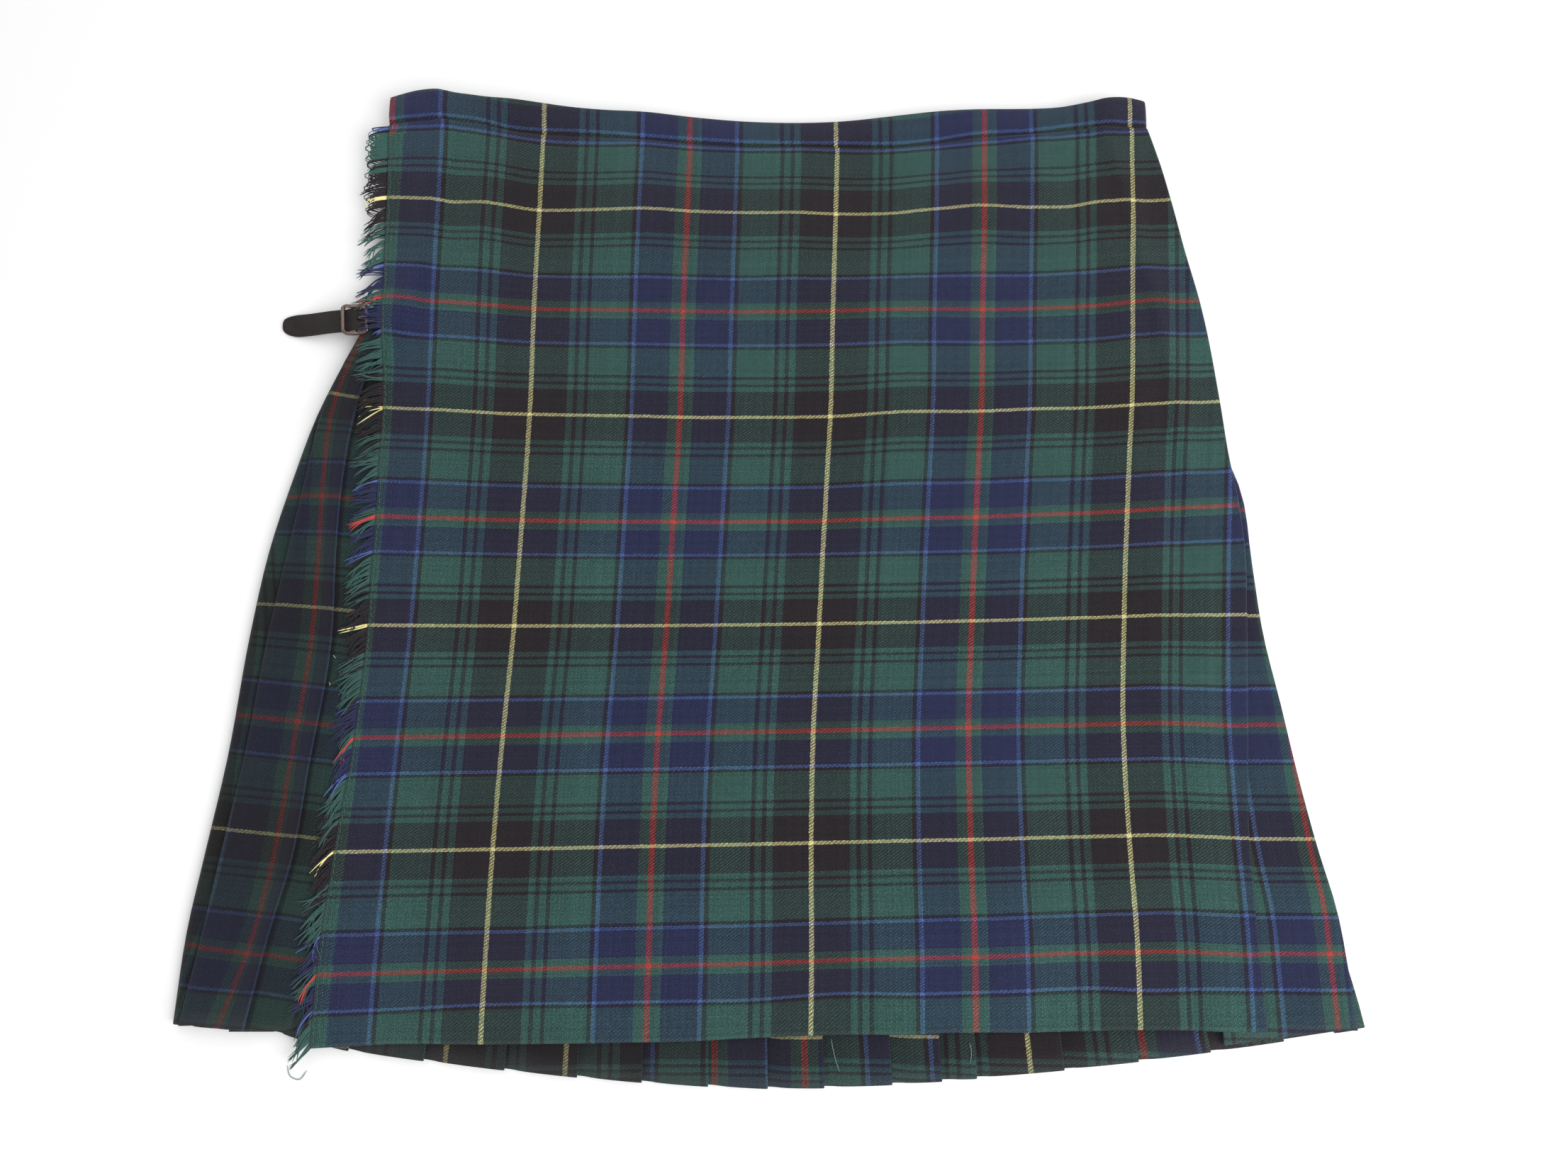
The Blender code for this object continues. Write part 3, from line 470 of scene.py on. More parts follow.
def over_apron_surface():
    """The over apron: rows of threads from the waist to the hem, and across from its free left edge to its
    right fold, round half a circle and back under as the edge folded under. The second array holds the
    threads counted across and down."""
    first, last = APRON_ROWS["sett"][0], APRON_ROWS["sett"][-1]
    ends = np.array(END_ROWS)
    middle = np.linspace(first + END_REACH, last - END_REACH, APRON_GRID[0])
    sett = np.concatenate([first + ends, middle, last - ends[::-1]])[:, None]
    left, right, half_sett = (apron_row(name, sett) for name in ("left", "right", "half_sett"))
    radius = LAYER_STEP / 2
    across = left + (right - radius / half_sett - left) * np.linspace(0.0, 1.0, APRON_GRID[1])
    x, y, z = apron_laid(sett, across)
    edge_x = apron_edge(sett, "right")[0]
    turn = np.linspace(0.0, math.pi, 9)[1:]
    inward = np.linspace(0.0, RETURN_DEPTH - radius, 10)[1:]
    fold_x = edge_x - radius + radius * np.sin(turn)
    fold_z = z[:, -1:] - radius + radius * np.cos(turn)
    under_z = np.repeat(z[:, -1:] - 2 * radius, inward.size, axis=1)
    x = np.concatenate([x, fold_x, edge_x - radius - inward], axis=1)
    y = np.concatenate([y, np.repeat(y[:, -1:], turn.size + inward.size, axis=1)], axis=1)
    z = np.concatenate([z, fold_z, under_z], axis=1)
    beyond = np.concatenate([radius * turn, radius * math.pi + inward]) - radius
    # close to the seam the threads aren't drawn together, so that the red stripe shows there
    at_seam = soft_step((-0.62 - sett) / 0.03)
    counted = threads_across(across, left) * (1 - at_seam) + across * at_seam
    across = np.concatenate([counted, right + beyond / half_sett], axis=1)
    threads = np.stack([across, sett - right_sag(x, y)], axis=-1) * HALF_REPEAT
    return np.stack([x, y, z], axis=-1), threads


def right_sag(x, y):
    """How many half repeats lower the stripes lie at the lower right, where the cloth is drawn down."""
    return (0.052 * soft_step((x - 225.0) / 75.0) * soft_step((60.0 - y) / 160.0)
            * (1 - soft_step((-226.0 - y) / 24.0)))


def left_threads_down(x, y):
    """Half repeats down the cloth of the left side, whose stripes fall a little to the right, less what the
    table says between the left and the right edge."""
    down = np.clip((60.0 - y) / 330.0, 0.0, 1.0)
    wrap, box_right = left_fold("wrap", y), left_fold("box_right", y)
    share = np.clip((x - wrap) / (box_right - wrap), 0.0, 1.0)
    lower = (np.interp(y, LEFT_LINES["y"], LEFT_LINES["left"]) * (1 - share)
             + np.interp(y, LEFT_LINES["y"], LEFT_LINES["right"]) * share)
    return sett_at(x, y) + 0.115 - 0.0018 * (x + 291.0) * (0.6 + 0.7 * down) - lower


def side_heights(share):
    """Heights on the left and the right side at a share of the way from waist to hem."""
    return (LEFT_FOLDS["y"][0] * (1 - share) + LEFT_HEM_Y * share,
            RIGHT_TOP_Y * (1 - share) + RIGHT_HEM_Y * share)


def under_apron_surface():
    """The under apron: one layer from under the box pleat to the over apron's folded edge."""
    share = np.linspace(0.0, 1.0, UNDER_GRID[0])[:, None]
    y_left, y_right = side_heights(share)
    box_left, box_right = left_fold("box_left", y_left), left_fold("box_right", y_left)
    left = box_right - 0.25 * (box_right - box_left)
    right = fold_edge_x(y_right) - RETURN_DEPTH - 6.0
    x = left + (right - left) * np.linspace(0.0, 1.0, UNDER_GRID[1])
    y = seam_y(x) * (1 - share) + (-270.0 - 3.0 * soft_step((-290.0 - x) / 20.0)) * share
    across = 1.34 + (x - box_right) / UNDER_HALF_ACROSS
    threads = np.stack([across, left_threads_down(x, y)], axis=-1) * HALF_REPEAT
    return np.stack([x, y, np.full_like(x, layer(3))], axis=-1), threads


def back_section(share):
    """Section of the back at a share of the way from waist to hem: columns x, height, whether tucked into
    the waistband, the place across in half repeats, the part (0 left side, 1 knife pleats, 2 side pleats)
    and the pleat's drop in half repeats."""
    y_left, y_right = side_heights(share)
    names = ("wrap", "box_left", "box_right", "red")
    wrap, box_left, box_right, red = (float(left_fold(name, y_left)) for name in names)
    left_side = left_side_section(wrap, box_left, box_right, red)
    pleats = knife_pleat_section(share, wrap)
    return ([(*point, 0.0, 0.0) for point in left_side] + pleats
            + [(*point, 2.0, 0.0) for point in side_pleat_section(y_right)])


def left_side_section(wrap, box_left, box_right, red):
    """The box pleat from under the over apron round to its hidden turn, and the wrap round the left side."""
    box = box_right - box_left
    half = LAYER_STEP / 2

    def on_box(x):
        """Half repeats on the box pleat: true to scale up to the red stripe, drawn together right of it."""
        beyond = x - red - 1.6
        if beyond < 0.0:
            return 1.0 + (x - red) / HALF_ACROSS
        return 1.016 + 0.319 * beyond / (box_right - red - 1.6)

    points = [(box_right - 0.25 * box, layer(4), 1, 1.335 + 0.25 * box / HALF_ACROSS),
              (box_right - half, layer(4), 0, 1.345),
              (box_right, layer(4) + half, 0, 1.335)]
    points += [(x, layer(5), 0, on_box(x)) for x in (box_right - half, red + 1.6, red - 1.0,
                                                     (red + box_left) / 2, box_left + half)]
    start = on_box(box_left)
    tuck = 0.42 * box
    at_tuck = start - tuck / HALF_ACROSS
    points += [(box_left, layer(5) - half, 0, start - 0.01),
               (box_left + half, layer(4), 0, start - 0.02),
               (box_left + tuck, layer(4), 1, at_tuck),
               (box_left + tuck + half, layer(4) - half, 1, at_tuck - 0.02),
               (box_left + tuck, layer(3), 1, at_tuck - 0.03)]
    at_wrap = start - 0.03 - (2 * tuck + box_left - wrap) / HALF_ACROSS
    return points + [
        (wrap + 3.2, layer(3), 0, at_wrap), (wrap + 1.0, layer(3) - 0.9, 0, at_wrap - 0.02),
        (wrap, layer(2), 0, at_wrap - 0.035), (wrap, layer(1), 0, at_wrap - 0.055),
        (wrap + 1.0, layer(0) + 0.9, 0, at_wrap - 0.065), (wrap + 3.2, layer(0), 0, at_wrap - 0.09)]


def knife_pleat_section(share, wrap):
    """The knife pleats: each runs up from the surface to its free edge and turns back to the next."""
    half = LAYER_STEP / 2
    points = []
    edges = PLEATS["waist"] * (1 - share) + PLEATS["hem"] * share
    turned = 0.0
    before = wrap + 4.0
    for number, edge in enumerate(edges):
        fold = before + PLEAT_CLEARANCE
        at_edge = PLEATS["sett"][number] - turned
        pleat = [(fold - PLEAT_RUN_UP - half, layer(0), 0, at_edge - (edge - fold + 9.5) / HALF_ACROSS),
                 (fold - half, layer(2), 0, at_edge - (edge - fold + 1.0) / HALF_ACROSS),
                 (edge - half, layer(2), 1, at_edge - 0.01),
                 (edge, layer(1) + half, 1, at_edge), (edge - half, layer(1), 1, at_edge + 0.01)]
        if number + 1 < len(edges):
            turned += PLEAT_TURN if PLEATS["sett"][number + 1] > PLEATS["sett"][number] else 0.0
            ahead = PLEATS["sett"][number + 1] - turned
            at_fold = ahead - (edges[number + 1] - fold) / HALF_ACROSS
        else:
            at_fold = at_edge - 0.8
        pleat += [(fold, layer(1), 0, at_fold + 0.03), (fold - half, layer(0) + half, 0, at_fold + 0.015),
                  (fold, layer(0), 0, at_fold)]
        points += [(*point, 1.0, PLEATS["drop"][number]) for point in pleat]
        before = edge
    return points


def side_pleat_section(y):
    """The two side pleats at the right, from the lower one up to the apron's folded edge."""
    side, lower = (float(from_table(RIGHT_FOLDS, "y", name, y)) for name in ("side", "lower"))
    half = LAYER_STEP / 2
    red_x = side + float(np.interp(y, SIDE_STRIPES["y"], SIDE_STRIPES["red"]))
    tuck = side - 12.0
    at_side = 1.0 + (side - red_x) / HALF_ACROSS
    at_lower = at_side + 0.3
    points = [(lower - half, layer(0), 0, at_lower + 0.02), (lower, layer(0) + half, 0, at_lower + 0.01),
              (lower - half, layer(1), 0, at_lower), (tuck, layer(1), 1, at_side + 0.14),
              (tuck - half, layer(1) + half, 1, at_side + 0.13), (tuck, layer(2), 1, at_side + 0.12),
              (side - half, layer(2), 0, at_side + 0.02), (side, layer(2) + half, 0, at_side + 0.01),
              (side - half, layer(3), 0, at_side)]
    run = float(fold_edge_x(y)) - RETURN_DEPTH - side
    return points + [(side + run * part, layer(3), 0, at_side + run * part / HALF_ACROSS)
                     for part in (0.15, 0.32, 0.5, 0.75, 1.0)]


def pleated_back_surface():
    """The pleated back: a section of folds at each share of the way from waist to hem, with the corners
    rounded by corner cutting, and the inner layers tucked into the waistband."""
    shares = np.linspace(0.0, 1.0, BACK_ROWS)
    sections = np.array([back_section(share) for share in shares])
    x, z, tucked, across, part, drop = np.moveaxis(sections, 2, 0)
    share = shares[:, None]
    upper = z > layer(2)
    first = np.min(np.where(upper, x, np.inf), axis=1, keepdims=True)
    last = np.max(np.where(upper, x, -np.inf), axis=1, keepdims=True)
    inward = np.where(upper, np.minimum(x - first, last - x), 0.0)
    hem = back_hem_y(x) + UPPER_HEM_RISE * soft_step(inward / 16.0) + 5.0 * np.exp(-((x + 310.0) / 13.0) ** 2)
    y = seam_y(x) * (1 - share) + hem * share
    y = y + np.where((share == 0.0) & (tucked > 0.5), TUCKED_IN, 0.0)
    # the hem of the upper side pleat curls up between the over apron's fold and the side
    curl = np.exp(-((x - 322.0) / 15.0) ** 2) * np.exp(-((y + 280.0) / 26.0) ** 2)
    z = z + 3.4 * curl * (z > layer(2) + 1.5)
    # past the apron's hem the free edges of the pleats stand up a little
    z = z + HEM_FLARE * tucked * (part == 1.0) * soft_step((-272.0 - y) / 20.0)
    surface = cut_corners(np.stack([x, y, z, across, part, drop], axis=-1), 2)
    x, y, z, across, part, drop = np.moveaxis(surface, 2, 0)
    on_pleats = 1 - np.abs(part - 1.0)
    at_left = np.clip(1.0 - part, 0.0, 1.0)
    down = (left_threads_down(x, y) * at_left + sett_at(x, y) * (1 - at_left)
            + (0.33 + drop) * on_pleats - np.interp(y, SIDE_STRIPES["y"], SIDE_STRIPES["sag"]) * (part > 1.0))
    threads = np.stack([across, down], axis=-1) * HALF_REPEAT
    return surface[..., :3], threads


def waistband_surface():
    """The waistband: one strip carried along its path round the kilt, its corners rounded, from the seam up
    to its top edge, which rounds over a little."""
    front = layer(4) + 0.6
    left = float(apron_edge(APRON_ROWS["sett"][0], "left")[0])
    right = RIGHT_FOLDS["side"][0] + 3.5
    wrap = LEFT_FOLDS["wrap"][0]
    floor = BAND_CLOTH / 2
    box = LEFT_FOLDS["box_right"][0]
    high = front + LAYER_STEP
    path = [(x, front + 2 * LAYER_STEP) for x in (left, -260.0, -254.0, -247.0, box + 2.0)]
    path += [(box + 8.0, high), (box + 14.0, front)]
    path += [(x, front) for x in np.linspace(-212.0, 198.0, 50)]
    path += [(right - 36.0, front), (right - 27.0, high), (right - 14.0, high)]
    last = len(path) - 1     # the last point on the front
    path += [(right - 3.0, high), (right - 0.9, high - 1.0), (right, 8.6), (right, 3.6),
             (right - 0.9, floor + 1.0), (right - 3.0, floor)]
    path += [(x, floor) for x in np.linspace(220.0, -240.0, 40)]
    path += [(wrap + 2.2, floor), (wrap - 0.2, floor + 1.0), (wrap - 1.2, 3.4), (wrap - 1.2, 8.2),
             (wrap - 0.2, layer(5) - 1.0), (wrap + 2.2, layer(5)), (box + 1.0, layer(5)),
             (box + 7.0, layer(4)), (box + 13.0, layer(3))]
    path += [(x, layer(3)) for x in np.linspace(-210.0, RIGHT_FOLDS["side"][0] - RETURN_DEPTH - 10.0, 40)]
    x, z = np.array(path).T
    length = np.concatenate([[0.0], np.cumsum(np.hypot(np.diff(x), np.diff(z)))])
    on_front = np.arange(len(path)) <= last
    spread = np.interp(x, BAND_STRIPES["x"], BAND_STRIPES["sett"])
    spread = spread + np.minimum(x - BAND_STRIPES["x"][0], 0.0) / HALF_ACROSS
    spread = spread + np.maximum(x - BAND_STRIPES["x"][-1], 0.0) / HALF_ACROSS
    across = np.where(on_front, spread, spread[last] + (length - length[last]) / HALF_ACROSS)
    share = np.linspace(0.0, 1.0, BAND_ROWS)[::-1, None]
    height = BAND_WIDTH - np.where(z >= front, 0.0, 1.0)[None, :]
    out = np.where(z >= front, 1.0, 0.0)[None, :]
    fold_x = apron_edge(APRON_ROWS["sett"][0], "right")[0]
    seam = from_table(DRIFTS, "x", "seam", x)[None, :] * out * soft_step((fold_x - x) / FOLD_FADE)
    top = from_table(DRIFTS, "x", "top", x)[None, :] * out
    lift = DRIFT_LIFT * np.maximum(seam, 0.0) * (1 - share) + 0.55 * np.maximum(top, 0.0) * share
    y = seam_y(x)[None, :] + SEAM_GAP + height * share + seam * (1 - share) + top * share - 0.5 * lift
    crown = (0.8 * np.sin(math.pi * share ** 0.6) - 0.9 * (1 - soft_step(share / 0.22))
             - 0.7 * soft_step((share - 0.8) / 0.2)) * out + lift
    down = BAND_FOOT - share * (BAND_WIDTH + top - seam) / HALF_DOWN
    surface = np.stack([np.broadcast_to(x, y.shape), y, z[None, :] + crown,
                        np.broadcast_to(across, y.shape), down], axis=-1)
    surface = cut_corners(surface, 2)
    return surface[..., :3], surface[..., 3:] * HALF_REPEAT


def strap_middle(x):
    return STRAP_Y + (x - BUCKLE_X) * math.tan(math.radians(STRAP_TURN))


def buckle_place(along, across, height):
    """Place from the buckle's middle, along the strap and across it, both turned by the strap's angle."""
    turn = math.radians(STRAP_TURN)
    return np.stack([BUCKLE_X + along * math.cos(turn) - across * math.sin(turn),
                     STRAP_Y + along * math.sin(turn) + across * math.cos(turn), height], axis=-1)


def buckle_height(along):
    """Height of the frame: a parabola, highest at the end bars."""
    return BUCKLE_Z - BUCKLE_BOW * (1 - (2 * along / BUCKLE_LENGTH) ** 2)


def ground_top(x, y):
    """Top of what lies under the fringe: the surface, the wrap, the box pleat, the strap or the buckle."""
    wrap, box_left, box_right = (left_fold(name, y) for name in ("wrap", "box_left", "box_right"))
    half = CAD_CLOTH / 2
    top = np.where(x < wrap - 1.0, 0.0, layer(3) + half)
    top = np.where((x > box_left - 2.0) & (x < box_right + 1.5), layer(5) + half, top)
    aside = np.abs(y - strap_middle(x))
    strap = from_table(STRAP_PATH, "x", "z", x) + STRAP_THICKNESS / 2
    top = np.where((aside < STRAP_WIDTH / 2 + 0.6) & (x > STRAP_PATH["x"][-1]), np.maximum(top, strap), top)
    on_buckle = (aside < BUCKLE_WIDTH / 2 + 2.0) & (np.abs(x - BUCKLE_X) < BUCKLE_LENGTH / 2 + 2.0)
    return np.where(on_buckle, BUCKLE_Z + 1.1, top)


# Meshes

def mesh_object(name, points, faces, material, threads=None):
    """A smooth-shaded object from an array of points and a list of faces. Threads hold a UV pair for each
    point, counted across and down the cloth."""
    mesh = bpy.data.meshes.new(name)
    mesh.from_pydata(placed(points).tolist(), [], faces)
    if threads is not None:
        corners = np.zeros(len(mesh.loops), dtype=int)
        mesh.loops.foreach_get("vertex_index", corners)
        uv = mesh.uv_layers.new(name="threads")
        uv.data.foreach_set("uv", threads[corners].ravel())
    mesh.polygons.foreach_set("use_smooth", np.ones(len(mesh.polygons), dtype=bool))
    mesh.materials.append(material)
    item = bpy.data.objects.new(name, mesh)
    bpy.context.scene.collection.objects.link(item)
    return item


def cloth_object(name, laid, thickness, material):
    """Cloth on a grid of points and their threads, with half its thickness to each side."""
    surface, threads = laid
    rows, columns = surface.shape[:2]
    number = np.arange(rows * columns).reshape(rows, columns)
    faces = np.stack([number[:-1, :-1], number[1:, :-1], number[1:, 1:], number[:-1, 1:]], axis=-1)
    item = mesh_object(name, surface.reshape(-1, 3), faces.reshape(-1, 4).tolist(), material,
                       threads.reshape(-1, 2))
    wall = item.modifiers.new("cloth thickness", "SOLIDIFY")
    wall.thickness = thickness * MM
    wall.offset = 0.0
    wall.use_even_offset = True
    return item


def loft_object(name, rings, material, threads=None):
    """One mesh of closed lofts. Rings are strands by stations by places round by 3: each is joined to the
    next, and the first and last of a strand are filled. Threads hold a UV pair for each station."""
    strands, stations, around = rings.shape[:3]
    number = np.arange(strands * stations * around).reshape(strands, stations, around)
    after = np.roll(number, -1, axis=2)
    quads = np.stack([number[:, :-1], after[:, :-1], after[:, 1:], number[:, 1:]], axis=-1)
    ends = np.concatenate([number[:, 0, ::-1], number[:, -1]], axis=0)
    if threads is not None:
        threads = np.repeat(threads.reshape(-1, 2), around, axis=0)
    return mesh_object(name, rings.reshape(-1, 3), quads.reshape(-1, 4).tolist() + ends.tolist(), material,
                       threads)


def tube_object(name, paths, radii, sides, material, threads=None):
    """Tubes along many paths at once. Paths are strands by stations by 3, radii strands by stations. Each
    station gets a ring: its place plus the radius times the cosine and sine of two directions square to
    the path."""
    tangent = np.gradient(paths, axis=1)
    tangent /= np.maximum(np.linalg.norm(tangent, axis=-1, keepdims=True), 1e-9)
    side = np.cross(tangent, (0.0, 0.0, 1.0))
    flat = np.linalg.norm(side, axis=-1, keepdims=True) < 1e-6
    side = np.where(flat, (1.0, 0.0, 0.0), side)
    side /= np.linalg.norm(side, axis=-1, keepdims=True)
    up = np.cross(side, tangent)
    angle = np.linspace(0.0, 2 * math.pi, sides, endpoint=False)[:, None]
    ring = side[:, :, None] * np.cos(angle) + up[:, :, None] * np.sin(angle)
    return loft_object(name, paths[:, :, None] + ring * radii[:, :, None, None], material, threads)


def ring_object(name, rings, material):
    """A closed ring-shaped mesh through rings of points, the last joined to the first."""
    stations, around = rings.shape[:2]
    number = np.arange(stations * around).reshape(stations, around)
    after, following = np.roll(number, -1, axis=1), np.roll(number, -1, axis=0)
    quads = np.stack([number, following, np.roll(following, -1, axis=1), after], axis=-1)
    return mesh_object(name, rings.reshape(-1, 3), quads.reshape(-1, 4).tolist(), material)


# Materials

def linear(hex_colour):
    """The linear colour of an sRGB hex value."""
    parts = [int(hex_colour[i:i + 2], 16) / 255 for i in (1, 3, 5)]
    return tuple(p / 12.92 if p <= 0.04045 else ((p + 0.055) / 1.055) ** 2.4 for p in parts)


def feed(tree, node, inputs):
    """Gives a node its inputs. Each is a value, another node's output, or another node, which stands for
    its first output; outputs are linked."""
    for key, value in inputs.items():
        if isinstance(value, bpy.types.Node):
            value = value.outputs[0]
        if isinstance(value, bpy.types.NodeSocket):
            tree.links.new(value, node.inputs[key])
        else:
            node.inputs[key].default_value = value


def add(tree, kind, settings=None, inputs=None):
    """Adds a node with its settings and inputs."""
    node = tree.nodes.new(kind)
    for key, value in (settings or {}).items():
        setattr(node, key, value)
    feed(tree, node, inputs or {})
    return node


def new_material(name):
    """A new material, its node tree, its shader and the place on the piece that its patterns read."""
    material = bpy.data.materials.new(name)
    material.use_nodes = True
    tree = material.node_tree
    return material, tree, tree.nodes["Principled BSDF"], add(tree, "ShaderNodeTexCoord").outputs["Object"]


def yarn_colour(tree, place, cloth):
    """Colour of the thread at a place counted in threads: the count is folded at both ends of the half
    repeat and looked up among the stripes."""
    folded = add(tree, "ShaderNodeMath", {"operation": "PINGPONG"}, {0: place, 1: float(HALF_REPEAT)})
    share = add(tree, "ShaderNodeMath", {"operation": "DIVIDE"}, {0: folded, 1: float(HALF_REPEAT)})
    ramp = add(tree, "ShaderNodeValToRGB", None, {"Fac": share})
    ramp.color_ramp.interpolation = "CONSTANT"
    elements = ramp.color_ramp.elements
    while len(elements) < len(STRIPES):
        elements.new(1.0)
    for element, stripe in zip(elements, STRIPES):
        element.position = stripe["start"] / HALF_REPEAT
        element.color = (*getattr(cloth, stripe["colour"]), 1.0)
    return ramp.outputs["Color"]


def tartan_twill(name, cloth, left_painted_shade_tone):
    """Worsted wool woven in a two-and-two twill and lightly milled. Threads of each colour lie over two and
    under two of the other set, so crossings of two colours look blended and fine diagonals rise to the
    right; the milled cloth has a soft, matt surface with a faint fuzz and uneven dye from yarn to yarn.
    Crossings of a dark and a light thread are darkened as painted shade, and the relief of the floats is
    painted as shade and highlight. Where the tone at the left side is less than one, painted shade darkens
    the cloth towards the left."""
    material, tree, shader, position = new_material(name)
    uv = add(tree, "ShaderNodeUVMap", {"uv_map": "threads"})
    # threads stray by up to half their width, in waves about four threads long
    stray = add(tree, "ShaderNodeTexNoise", None, {"Vector": uv, "Scale": 0.24, "Detail": 2.0})
    shift = add(tree, "ShaderNodeVectorMath", {"operation": "SUBTRACT"},
                {0: stray.outputs["Color"], 1: (0.5, 0.5, 0.5)})
    shift = add(tree, "ShaderNodeVectorMath", {"operation": "SCALE"}, {0: shift, "Scale": cloth.stray})
    moved = add(tree, "ShaderNodeVectorMath", {"operation": "ADD"}, {0: uv, 1: shift})
    counts = add(tree, "ShaderNodeSeparateXYZ", None, {0: moved})
    warp, weft = counts.outputs["X"], counts.outputs["Y"]
    warp_colour = yarn_colour(tree, warp, cloth)
    weft_colour = yarn_colour(tree, weft, cloth)

    warp_number = add(tree, "ShaderNodeMath", {"operation": "FLOOR"}, {0: warp})
    weft_number = add(tree, "ShaderNodeMath", {"operation": "FLOOR"}, {0: weft})
    along_warp = add(tree, "ShaderNodeMath", {"operation": "ADD"}, {0: weft, 1: warp_number})
    along_warp = add(tree, "ShaderNodeMath", {"operation": "FLOORED_MODULO"}, {0: along_warp, 1: 4.0})
    along_weft = add(tree, "ShaderNodeMath", {"operation": "ADD"}, {0: warp, 1: weft_number})
    along_weft = add(tree, "ShaderNodeMath", {"operation": "SUBTRACT"}, {0: along_weft, 1: 2.0})
    along_weft = add(tree, "ShaderNodeMath", {"operation": "FLOORED_MODULO"}, {0: along_weft, 1: 4.0})
    # the weft stands a little proud of the warp, so it shows over more than half of each crossing
    warp_on_top = add(tree, "ShaderNodeMath", {"operation": "LESS_THAN"},
                      {0: along_warp, 1: cloth.warp_float})
    upper = add(tree, "ShaderNodeMix", {"data_type": "RGBA"},
                {"Factor": warp_on_top, 6: weft_colour, 7: warp_colour}).outputs[2]
    lower = add(tree, "ShaderNodeMix", {"data_type": "RGBA"},
                {"Factor": warp_on_top, 6: warp_colour, 7: weft_colour}).outputs[2]
    # milled fibres of both threads mingle, and where a dark thread crosses a light one the crossing is
    # darkened as painted shade
    mingled = add(tree, "ShaderNodeMix", {"data_type": "RGBA"},
                  {"Factor": 0.6 * cloth.milling_and_crossing_shade, 6: upper, 7: lower}).outputs[2]
    crossing = add(tree, "ShaderNodeMix", {"data_type": "RGBA", "blend_type": "DARKEN"},
                   {"Factor": cloth.milling_and_crossing_shade, 6: mingled, 7: lower}).outputs[2]

    # each float is a rounded bar: a half wave across the thread times a half wave along two crossings
    heights = []
    for across, along in ((warp, along_warp), (weft, along_weft)):
        width = add(tree, "ShaderNodeMath", {"operation": "MULTIPLY"}, {0: across, 1: math.pi})
        width = add(tree, "ShaderNodeMath", {"operation": "SINE"}, {0: width})
        width = add(tree, "ShaderNodeMath", {"operation": "ABSOLUTE"}, {0: width})
        length = add(tree, "ShaderNodeMath", {"operation": "MULTIPLY"}, {0: along, 1: math.pi / 2})
        length = add(tree, "ShaderNodeMath", {"operation": "SINE"}, {0: length})
        length = add(tree, "ShaderNodeMath", {"operation": "MAXIMUM"}, {0: length, 1: 0.0})
        heights.append(add(tree, "ShaderNodeMath", {"operation": "MULTIPLY"}, {0: width, 1: length}))
    relief = add(tree, "ShaderNodeMath", {"operation": "MAXIMUM"}, {0: heights[0], 1: heights[1]})

    # painted shade and highlight of the relief, the dye from yarn to yarn, painted light from the turn of the
    # floats (warp floats run up and down and catch more light than weft floats), patches 45 mm wide in the
    # dye, the fuzz, and on the back painted shade that darkens it towards the left
    own_warp = add(tree, "ShaderNodeTexWhiteNoise", {"noise_dimensions": "1D"}, {"W": warp_number})
    own_weft = add(tree, "ShaderNodeTexWhiteNoise", {"noise_dimensions": "1D"}, {"W": weft_number})
    own = add(tree, "ShaderNodeMix", {"data_type": "FLOAT"},
              {"Factor": warp_on_top, 2: own_weft, 3: own_warp})
    patches = add(tree, "ShaderNodeTexNoise", None,
                  {"Vector": position, "Scale": 1 / (45.0 * MM), "Detail": 4.0})
    fuzz = add(tree, "ShaderNodeTexNoise", None, {"Vector": position, "Scale": 1 / (0.9 * MM), "Detail": 3.0})
    side = add(tree, "ShaderNodeSeparateXYZ", None, {0: position})
    ranges = [(relief, 0.0, 1.0, 0.16, 1.58), (own, 0.0, 1.0, 0.76, 1.24),
              (warp_on_top, 0.0, 1.0, 0.96, 1.08), (patches, 0.3, 0.7, 0.93, 1.07),
              (fuzz, 0.3, 0.7, 0.68, 1.32)]
    # painted shade on the back: the colour darkens towards the left, from the left tone at X = -0.30 m to
    # none at X = 0.30 m
    if left_painted_shade_tone < 1.0:
        ranges.append((side, -0.30, 0.30, left_painted_shade_tone, 1.0))
    shade = 1.0
    for value, low, high, least, most in ranges:
        factor = add(tree, "ShaderNodeMapRange", None,
                     {"Value": value, "From Min": low, "From Max": high, "To Min": least, "To Max": most})
        shade = add(tree, "ShaderNodeMath", {"operation": "MULTIPLY"}, {0: shade, 1: factor})
    shaded = add(tree, "ShaderNodeVectorMath", {"operation": "SCALE"}, {0: crossing, "Scale": shade})
    bumpy = add(tree, "ShaderNodeMath", {"operation": "MULTIPLY_ADD"}, {0: fuzz, 1: 0.5, 2: relief})
    bump = add(tree, "ShaderNodeBump", None, {"Height": bumpy, "Distance": 0.26 * MM, "Strength": 0.9})
    feed(tree, shader, {"Base Color": shaded, "Normal": bump, "Roughness": 0.92, "Specular IOR Level": 0.22,
                        "Sheen Weight": 0.12, "Sheen Roughness": 0.55})
    return material


